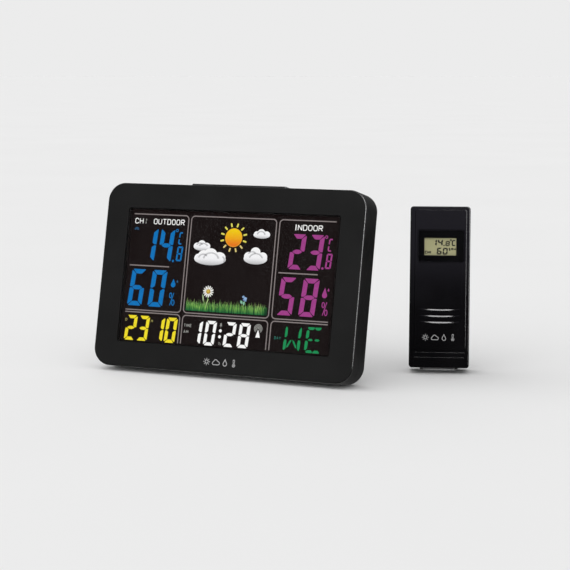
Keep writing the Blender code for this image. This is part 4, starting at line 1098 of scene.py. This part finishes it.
# segments of the two green letters: display x, y round each outline
GREEN_SEGMENTS = (
    ((145.3, 93.0), (146.2, 94.0), (146.2, 98.6), (145.4, 100.1), (144.4, 100.1),
     (144.3, 98.8), (144.6, 94.2)),
    ((144.3, 101.7), (145.6, 101.8), (145.9, 103.2), (145.6, 107.4), (144.5, 108.7),
     (143.6, 108.4), (143.7, 104.0)),
    ((155.9, 93.0), (156.4, 94.4), (156.2, 98.6), (155.5, 100.3), (154.2, 100.2),
     (154.3, 97.0), (154.8, 94.8)),
    ((154.2, 101.8), (155.7, 101.7), (156.0, 103.4), (155.7, 107.3), (155.1, 108.8),
     (154.1, 107.8), (153.7, 104.8)),
    ((149.4, 101.7), (149.2, 102.9), (147.2, 106.5), (146.0, 107.2), (146.1, 106.0),
     (148.0, 102.4)),
    ((150.1, 101.6), (151.4, 102.6), (153.0, 105.4), (153.6, 107.4), (152.5, 106.8),
     (150.6, 103.6)),
    ((160.0, 95.0), (160.9, 94.3), (161.9, 95.2), (161.8, 98.8), (160.9, 100.0),
     (159.8, 100.0), (159.6, 98.6)),
    ((159.5, 101.6), (160.9, 101.6), (161.4, 102.8), (161.1, 106.6), (160.1, 107.9),
     (159.1, 107.6), (159.2, 104.0)),
    ((160.9, 92.4), (165.4, 92.4), (165.6, 93.3), (164.2, 94.2), (162.0, 94.2),
     (160.8, 93.4)),
    ((166.0, 92.4), (170.4, 92.3), (170.0, 93.6), (168.8, 94.3), (167.0, 94.2),
     (165.9, 93.2)),
    ((161.3, 100.9), (162.1, 100.2), (163.9, 100.2), (164.8, 100.9), (163.9, 101.6),
     (162.0, 101.6)),
    ((166.0, 100.9), (166.9, 100.2), (168.8, 100.2), (169.7, 100.9), (168.7, 101.6),
     (166.8, 101.6)),
    ((160.2, 108.6), (161.4, 107.8), (163.8, 107.7), (164.9, 108.8), (164.6, 109.6),
     (160.6, 109.6)),
    ((165.3, 108.8), (166.6, 107.7), (168.8, 107.7), (170.0, 109.0), (169.8, 109.6),
     (165.2, 109.6)),
)
green = Plates()
for points in GREEN_SEGMENTS:
    green.poly(points)
green.done("letters_green", "lit_green")
dim_green = Plates()
word(dim_green, "DAY", 136.7, 100.2, 1.9, 1.75, 0.36)
dim_green.done("marks_green", "dim_green")

# ---- divider lines
BEND_R = 2.6
# path points (x, y), or rounded corners (x, y, start angle, end angle); closed or not
DIVIDERS = (
    (((21.4, 21.4), (64.5, 21.4, -90, 0), (64.5, 88.6, 0, 90), (21.4, 88.6)), False),
    (((21.4, 90.2), (64.5, 90.2, -90, 0), (64.5, 109.8)), False),
    (((131.1, 21.4, -90, 0), (131.1, 88.4, 0, 90), (66.7, 88.4, 90, 180),
      (66.7, 21.4, 180, 270)), True),
    (((66.7, 109.8), (66.7, 90.2, 180, 270), (131.1, 90.2, -90, 0), (131.1, 109.8)),
     False),
    (((174.5, 21.4), (133.5, 21.4, 270, 180), (133.5, 88.4, 180, 90), (174.5, 88.4)),
     False),
    (((174.5, 90.1), (133.5, 90.1, 270, 180), (133.5, 109.8)), False),
)


def divider_points(x, y, *angles):
    if not angles:
        return [(x, y)]
    middle = math.radians(sum(angles) / 2)
    return arc(x - math.copysign(BEND_R, math.cos(middle)),
               y - math.copysign(BEND_R, math.sin(middle)), BEND_R, BEND_R, *angles, 7)


lines = Plates()
for path, closed in DIVIDERS:
    lines.ribbon([p for place in path for p in divider_points(*place)], 0.72,
                 closed=closed)
lines.ribbon([(21.4, 57.5), (52.5, 57.5)], 0.8)
lines.ribbon([(135.6, 57.3), (164.2, 57.3)], 0.8)
lines.done("divider_lines", "lit_line")

# -------------------------------------------------------- weather picture ----
SUN_X, SUN_Y = 100.0, 35.1
DAISY_X, DAISY_Y = 84.5, 72.9
BLADES = 230
rng = random.Random(7)
picture = Plates()


def mixed(start, end, share):
    share = max(0.0, min(1.0, share))
    return tuple(a + (b - a) * share for a, b in zip(start, end))


def sun_tint(x, y):
    """Yellow on top through orange to red, with a paler edge."""
    down = (y - 28.6) / 13.0
    if down < 0.53:
        colour = mixed((248, 220, 8), (244, 172, 20), down * 1.9)
    else:
        colour = mixed((244, 172, 20), (234, 104, 26), (down - 0.53) / 0.47)
    return mixed(colour, (240, 172, 44), (math.hypot(x - SUN_X, y - SUN_Y) - 5.7) / 0.8)


picture.fan(arc(SUN_X, SUN_Y, 6.45, 6.45, 0, 355, 71), (SUN_X, SUN_Y), sun_tint, 0.0, 10)
for k in range(12):
    angle = math.radians(15 + 30 * k)
    cos, sin = math.cos(angle), math.sin(angle)
    ray = [(SUN_X + cos * (8.75 + u) - sin * v, SUN_Y + sin * (8.75 + u) + cos * v)
           for u, v in ((-1.35, -0.35), (-1.1, -0.58), (1.1, -0.58), (1.35, -0.35),
                        (1.35, 0.35), (1.1, 0.58), (-1.1, 0.58), (-1.35, 0.35))]
    picture.poly(ray, (232, 224, 96) if sin < 0.3 else (226, 206, 128))


def cloud_outline(centre, puffs, count=112):
    """Farthest reach of the puffs (x, y, x radius, y radius) round the centre."""
    outline = []
    for i in range(count):
        angle = 2 * math.pi * i / count
        cos, sin = math.cos(angle), math.sin(angle)
        best = 0.1
        for x, y, x_radius, y_radius in puffs:
            from_x, from_y = (centre[0] - x) / x_radius, (centre[1] - y) / y_radius
            way_x, way_y = cos / x_radius, sin / y_radius
            square = way_x * way_x + way_y * way_y
            linear = 2 * (from_x * way_x + from_y * way_y)
            constant = from_x * from_x + from_y * from_y - 1
            inside = linear * linear - 4 * square * constant
            if inside > 0:
                best = max(best, (-linear + math.sqrt(inside)) / (2 * square))
        outline.append((centre[0] + cos * best, centre[1] + sin * best))
    return outline


def cloud(centre, puffs, folds, lift=0.0):
    """Common outline of the puffs, shaded from white on top to grey underneath,
    with soft grey folds along arcs (x, y, x radius, y radius, start, end)."""
    outline = cloud_outline(centre, puffs)
    top = min(y for _, y in outline)
    bottom = max(y for _, y in outline)

    def tint(x, y):
        down = (y - top) / (bottom - top)
        value = 262 - 20 * down - 56 * max(0.0, (down - 0.62) / 0.38) ** 1.3
        for fold_x, fold_y, x_radius, y_radius, start, end in folds:
            u, v = (x - fold_x) / x_radius, (y - fold_y) / y_radius
            angle = math.degrees(math.atan2(v, u)) % 360
            if start <= angle <= end or start <= angle + 360 <= end:
                away = (math.hypot(u, v) - 1) * min(x_radius, y_radius)
                value -= 70 * math.exp(-(away / (0.28 if away < 0 else 0.6)) ** 2)
        return (value, value, min(255, value + 2))

    picture.fan(outline, centre, tint, lift, 18)


cloud((120.8, 32.4), [(120.8, 32.5, 6.2, 2.35), (120.4, 30.8, 2.7, 2.35),
                      (117.3, 31.9, 2.4, 1.9), (124.2, 31.9, 2.7, 2.1)],
      [(120.3, 32.6, 2.7, 2.4, 190, 350)])
cloud((117.5, 48.4), [(117.6, 48.9, 8.8, 3.7), (117.3, 44.4, 3.7, 3.4),
                      (112.5, 47.4, 3.5, 3.1), (122.8, 47.4, 3.5, 3.2)],
      [(117.9, 50.4, 5.2, 5.0, 205, 335), (114.9, 46.4, 2.6, 2.2, 200, 330)])
cloud((76.4, 42.2), [(76.4, 42.5, 6.3, 2.6), (76.2, 40.5, 2.9, 2.6),
                     (72.9, 41.9, 2.8, 2.3), (79.8, 41.8, 3.0, 2.4)],
      [(77.6, 42.6, 3.0, 2.4, 195, 340), (74.6, 42.0, 2.2, 2.0, 200, 330)])
cloud((83.4, 50.2), [(83.4, 50.6, 12.1, 4.2), (83.6, 47.0, 4.9, 3.9),
                     (78.4, 48.6, 4.4, 3.9), (90.4, 49.2, 4.8, 3.7),
                     (74.6, 50.2, 3.2, 3.0)],
      [(84.2, 50.6, 5.4, 4.2, 185, 352), (78.2, 50.6, 3.4, 3.0, 190, 320),
       (91.2, 50.8, 3.2, 2.4, 300, 390)], 0.02)

# grass: a dark band, then blades from back to front
for i in range(44):
    left, right = 68.1 + 1.4 * i, 68.1 + 1.4 * (i + 1)
    picture.poly([(left, 80.6 + rng.random()), (right, 80.6 + rng.random()),
                  (right, 86.7), (left, 86.7)],
                 lambda x, y: mixed((30, 78, 34), (8, 50, 32), (y - 80.6) / 6), 0.0, False)


def grass_blade(nearness):
    x = 68.6 + 60.6 * rng.random()
    tall = rng.uniform(5.6, 9.6) * (1.0 - 0.30 * nearness)
    foot_y = 86.8 - 0.4 * rng.random()
    bend = rng.uniform(-1.5, 1.5)
    width = rng.uniform(0.4, 0.72)
    tip_y = max(foot_y - tall, 77.4 + rng.random())
    bright = rng.random()
    low = mixed((6, 84, 46), (30, 118, 60), bright)
    middle = mixed((34, 104, 40), (150, 204, 92), bright)
    tip = mixed((78, 122, 56), (188, 204, 136), rng.random())
    tall = foot_y - tip_y

    def tint(_, y):
        up = (foot_y - y) / tall
        if up < 0.5:
            return mixed(low, middle, up / 0.5)
        return mixed(middle, tip, (up - 0.5) / 0.5)

    lift = 0.004 + 0.03 * nearness
    waist_y = foot_y - tall * 0.55
    waist_x = x + bend * 0.35
    left, right = (waist_x - width * 0.32, waist_y), (waist_x + width * 0.32, waist_y)
    picture.poly([(x - width / 2, foot_y), (x + width / 2, foot_y), right, left],
                 tint, lift, False)
    picture.poly([left, right, (x + bend, tip_y)], tint, lift, False)


for i in range(BLADES):
    grass_blade(i / BLADES)

# daisy: stem, two leaves, petals and heart
picture.ribbon([(84.6, 76.0), (84.5, 79.0), (83.7, 84.5)], 0.6, (132, 166, 104),
               lift=0.045)
picture.poly([(80.2, 74.9), (81.2, 76.0), (81.6, 78.2), (81.5, 80.4), (80.7, 78.6),
              (80.3, 76.8)], (168, 190, 146), 0.046, False)
picture.poly([(85.4, 77.8), (85.0, 79.2), (84.2, 81.4), (83.7, 82.4), (83.8, 80.4),
              (84.5, 78.6)], (178, 204, 136), 0.047, False)
for k in range(14):
    angle = 2 * math.pi * (k + 0.25) / 14
    cos, sin = math.cos(angle), math.sin(angle)
    shade = 252 if k % 2 else 232
    petal = [(DAISY_X + cos * u - sin * v, DAISY_Y + sin * u + cos * v)
             for u, v in ((1.0, -0.16), (2.3, -0.46), (3.5, -0.48), (4.3, 0.0),
                          (3.5, 0.48), (2.3, 0.46), (1.0, 0.16))]
    picture.poly(petal, (shade, shade, shade - 6), 0.048 + 0.001 * (k % 2), False)
picture.fan(arc(DAISY_X, DAISY_Y, 1.65, 1.65, 0, 340, 17), (84.3, 72.6),
            lambda x, y: mixed((232, 206, 104), (170, 132, 30),
                               math.hypot(x - 84.3, y - 72.6) / 1.8), 0.055, 4)

# little blue flower and its leaves
for x, y, radius, colour in (
        (111.3, 75.1, 0.95, (132, 166, 204)), (112.9, 76.2, 1.15, (150, 182, 220)),
        (112.0, 76.9, 0.9, (104, 140, 188)), (113.2, 77.6, 0.7, (128, 160, 200))):
    picture.poly(arc(x, y, radius, radius * 0.9, 0, 330, 11), colour, 0.05, False)
for points in (
        ((109.4, 77.6), (110.8, 78.0), (111.2, 79.4), (110.2, 80.0), (109.2, 78.9)),
        ((111.4, 78.6), (112.6, 77.8), (112.7, 79.8), (112.1, 81.0), (111.3, 80.0))):
    picture.poly(points, (134, 190, 160), 0.052, False)
picture.done("weather_picture", "lit_picture")


# ----------------------------------------------------------------- prints ----
def badge(name, x_mid, z_mid, scale, line, base, body, slot):
    """Four small line pictograms: sun, cloud, drop, thermometer."""
    plates = Plates(lambda x, y, lift=0.0: (x_mid + x * scale, -0.02 - lift,
                                            z_mid - y * scale), 0.05)
    x = -10.2
    plates.ribbon(arc(x, 0, 1.15, 1.15, 0, 345, 23), line, closed=True)
    for k in range(8):
        cos, sin = math.cos(math.radians(45 * k)), math.sin(math.radians(45 * k))
        plates.ribbon([(x + 1.8 * cos, 1.8 * sin), (x + 2.5 * cos, 2.5 * sin)],
                      line * 0.9)
    x = -3.3
    plates.ribbon(arc(x - 1.5, 0.7, 1.0, 1.0, 90, 250)
                  + arc(x - 0.1, -0.4, 1.35, 1.35, 205, 340)
                  + arc(x + 1.7, 0.6, 1.1, 1.1, 280, 450), line, closed=True)
    plates.ribbon(drop_outline(3.6, 0.75, -2.2, 1.35, range(-28, 209, 13)), line,
                  closed=True)
    x = 10.2
    plates.ribbon([(x + 0.55, 0.55), (x + 0.55, -1.9)]
                  + arc(x, -1.95, 0.55, 0.55, 0, -180, 6) + [(x - 0.55, 0.55)]
                  + arc(x, 1.35, 0.98, 0.98, 236, -56, 14), line * 0.8, closed=True)
    plates.ribbon([(x, -0.9), (x, 1.2)], line * 0.8)
    plates.disc(x, 1.35, 0.5, corners=12)
    plates.done(name, "print_grey", base, body, slot)


badge("pictograms", 1.3, CASE_H - 120.6, 1.0, 0.52, CONSOLE, "console", "case_black")
badge("sensor_pictograms", 0.0, 20.9, 0.92, 0.5, SENSOR, "sensor", "sensor_case")

# what each key on the back does, printed above it, so x runs backwards
KEY_PITCH = 1.75
key_words = Plates(lambda x, y, lift=0.0: (x, CASE_D + 0.02 + lift, BUTTON_Z + 5.9 - y),
                   0.05, 1)
for x, text in zip(BUTTON_X, ("MODE", "UP", "DOWN", "HISTORY", "CHANNEL", "ALERT")):
    start = x + KEY_PITCH * len(text) / 2
    for i, char in enumerate(text):
        wide, shift = (0.0, KEY_PITCH * 0.28) if char == "I" else (KEY_PITCH * 0.56, 0)
        for points, closed in glyph(char, wide, 1.5):
            key_words.ribbon([(start - i * KEY_PITCH - 0.25 - u - shift, 0.15 + v)
                              for u, v in points], 0.3, closed=closed)
key_words.done("key_words", "print_grey", slot="case_black")

# sensor's display: x from the sensor's left edge, y down from its top
ink = Plates(lambda x, y, lift=0.0: (x - SENSOR_W / 2, 2.26 - lift, SENSOR_H - y), 0.03)
digit(ink, "1", 14.7, 22.6, 3.5, 4.8, 1.2, 1.05, 0.08, 0.02)
digit(ink, "4", 18.8, 22.6, 3.5, 4.8, 1.2, 1.05, 0.08, 0.02)
ink.disc(23.3, 26.9, 0.5, corners=10)
digit(ink, "8", 24.2, 23.8, 2.9, 3.6, 0.82, 0.78, 0.06, 0.02)
ink.ribbon(arc(28.0, 23.3, 0.5, 0.5, 0, 330, 11), 0.46, closed=True)
ink.ribbon([(30.9, 23.5), (29.6, 23.5), (29.1, 24.0), (29.0, 26.3), (29.4, 26.9),
            (30.9, 26.9)], 0.82)
digit(ink, "6", 18.2, 28.5, 3.4, 4.8, 1.1, 1.0, 0.08, 0.02)
digit(ink, "0", 22.3, 28.5, 3.4, 4.8, 1.1, 1.0, 0.08, 0.02)
percent(ink, 26.7, 28.6, 0.42, 0.2)
word(ink, "RH", 28.2, 28.6, 1.75, 1.8, 0.5)
word(ink, "CH", 10.1, 30.6, 2.2, 1.75, 0.62)
word(ink, "1", 13.5, 30.6, 2.2, 1.0, 0.62)
ink.done("sensor_digits", "lcd_ink", SENSOR, "sensor", "lcd_olive")


# ------------------------------------------------------------------ cells ----
def finish_cell(node, base, axis, centre, nub):
    """Steel ends and a printed wrap; nub is the way its plus end points."""
    dress(NODES[node], "cell_wrap", "spring_steel")
    inverse = base.inverted()
    for face in NODES[node].data.polygons:
        local = (inverse @ face.center) / MM
        along = (local[axis] - centre) * nub
        face.material_index = 1 if along > 21.2 or along < -21.9 else 0


for i, side in enumerate((1, -1, 1)):
    finish_cell(f"battery_{i + 1}", CONSOLE, 0, 1.9 * side, side)
finish_cell("sensor_battery_1", SENSOR, 2, 76.25, 1)
finish_cell("sensor_battery_2", SENSOR, 2, 73.55, -1)

# ----------------------------------------------------------------- studio ----
# world brightness: even part, extra towards the front direction, in mirrors in
# front of and behind the object, and as the camera sees it
EVEN_LIGHT, FRONT_LIGHT, MIRROR_LIGHT, BEHIND_LIGHT, SKY_SEEN = 0.95, 0.78, 0.030, 0.75, 0.838
FRONT_DIRECTION = (-0.78, -0.61, 0.10)

view = SCENE.view_settings
view.view_transform = "Standard"
view.look = "None"
view.exposure = 0.0
view.gamma = 1.0


def add_floor():
    """Pale plane out to the horizon, in metres."""
    shape = bmesh.new()
    spans = (-80.0, -20.0, -4.0, -1.0, 1.0, 4.0, 20.0, 80.0)
    grid = [[shape.verts.new((x, y, -0.0002)) for y in spans] for x in spans]
    for row, after in zip(grid, grid[1:]):
        for j in range(len(spans) - 1):
            shape.faces.new((row[j], after[j], after[j + 1], row[j + 1]))
    floor = link_object("floor", shape)
    dress(floor, "pale_floor")
    floor.visible_glossy = False


def build_world():
    """Soft light brighter towards one side; mirrors and camera see other levels."""
    world = bpy.data.worlds.new("studio")
    SCENE.world = world
    world.use_nodes = True
    tree = world.node_tree
    tree.nodes.clear()
    link = tree.links.new

    def background(strength):
        return add_node(tree, "ShaderNodeBackground", Color=(1.0, 1.0, 1.0, 1.0),
                        Strength=strength)

    out = add_node(tree, "ShaderNodeOutputWorld")
    soft, mirrored, seen = background(1.0), background(MIRROR_LIGHT), background(SKY_SEEN)
    where = add_node(tree, "ShaderNodeTexCoord")
    dot = add_node(tree, "ShaderNodeVectorMath", operation="DOT_PRODUCT")
    dot.inputs[1].default_value = FRONT_DIRECTION
    link(where.outputs["Generated"], dot.inputs[0])
    level = add_node(tree, "ShaderNodeMath", operation="MULTIPLY_ADD")
    level.inputs[1].default_value = FRONT_LIGHT
    level.inputs[2].default_value = EVEN_LIGHT
    link(dot.outputs["Value"], level.inputs[0])
    link(level.outputs[0], soft.inputs["Strength"])
    # in mirrors the room is dark in front and glows softly behind the object
    apart = add_node(tree, "ShaderNodeSeparateXYZ")
    link(where.outputs["Generated"], apart.inputs[0])
    behind = add_node(tree, "ShaderNodeMapRange", **{
        "From Min": 0.10, "From Max": 1.0, "To Min": MIRROR_LIGHT, "To Max": BEHIND_LIGHT})
    link(apart.outputs["Y"], behind.inputs["Value"])
    link(behind.outputs["Result"], mirrored.inputs["Strength"])
    path = add_node(tree, "ShaderNodeLightPath")
    shown = soft
    for ray, special in (("Is Glossy Ray", mirrored), ("Is Camera Ray", seen)):
        blend = add_node(tree, "ShaderNodeMixShader")
        link(path.outputs[ray], blend.inputs[0])
        link(shown.outputs[0], blend.inputs[1])
        link(special.outputs[0], blend.inputs[2])
        shown = blend
    link(shown.outputs[0], out.inputs["Surface"])


def direction(azimuth, elevation):
    """Unit vector from the object; azimuth 0 is in front, positive to its right."""
    return Vector((math.sin(azimuth) * math.cos(elevation),
                   -math.cos(azimuth) * math.cos(elevation), math.sin(elevation)))


def softbox(name, azimuth, elevation, distance, width, height, watts,
            target=(0.03, 0.0, 0.06)):
    """Area light for reflections only, at that bearing from the target (radians)."""
    away = direction(azimuth, elevation)
    data = bpy.data.lights.new(name, "AREA")
    data.shape = "RECTANGLE"
    data.size, data.size_y, data.energy = width, height, watts
    obj = bpy.data.objects.new(name, data)
    obj.location = Vector(target) + away * distance
    obj.rotation_euler = away.to_track_quat("Z", "Y").to_euler()
    obj.visible_camera = False
    obj.visible_diffuse = False
    SCENE.collection.objects.link(obj)
    return data


def add_camera():
    azimuth, elevation = math.radians(24.062), math.radians(7.523)
    distance, target = 1.0965, Vector((0.0418, 0.0, 0.0645))
    back = direction(azimuth, elevation)
    data = bpy.data.cameras.new("camera")
    data.sensor_width = 36.0
    data.sensor_fit = "HORIZONTAL"
    data.lens = 103.067368
    data.clip_start = 0.05
    data.clip_end = 50.0
    camera = bpy.data.objects.new("camera", data)
    SCENE.collection.objects.link(camera)
    cos, sin = math.cos(azimuth), math.sin(azimuth)
    rise = math.sin(elevation)
    # columns: right, up and back of the camera
    camera.matrix_world = Matrix.Translation(target + back * distance) @ Matrix((
        (cos, -sin * rise, back.x, 0), (sin, cos * rise, back.y, 0),
        (0, math.cos(elevation), back.z, 0), (0, 0, 0, 1)))
    SCENE.camera = camera


add_floor()
build_world()
softbox("overhead", math.radians(16), math.radians(68), distance=1.5,
        width=0.9, height=0.16, watts=6.0)
softbox("right_strip", math.radians(62), math.radians(34), distance=1.5,
        width=0.62, height=1.7, watts=62.0)
# card half a metre in front of the sensor
card = softbox("sensor_card", SENSOR_YAW, 0, distance=0.0, width=0.34, height=0.25,
               watts=0.082, target=(0.130 + 0.5 * math.sin(SENSOR_YAW),
                                    0.062 - 0.5 * math.cos(SENSOR_YAW), 0.292))
card.color = (0.92, 0.88, 1.14)
add_camera()
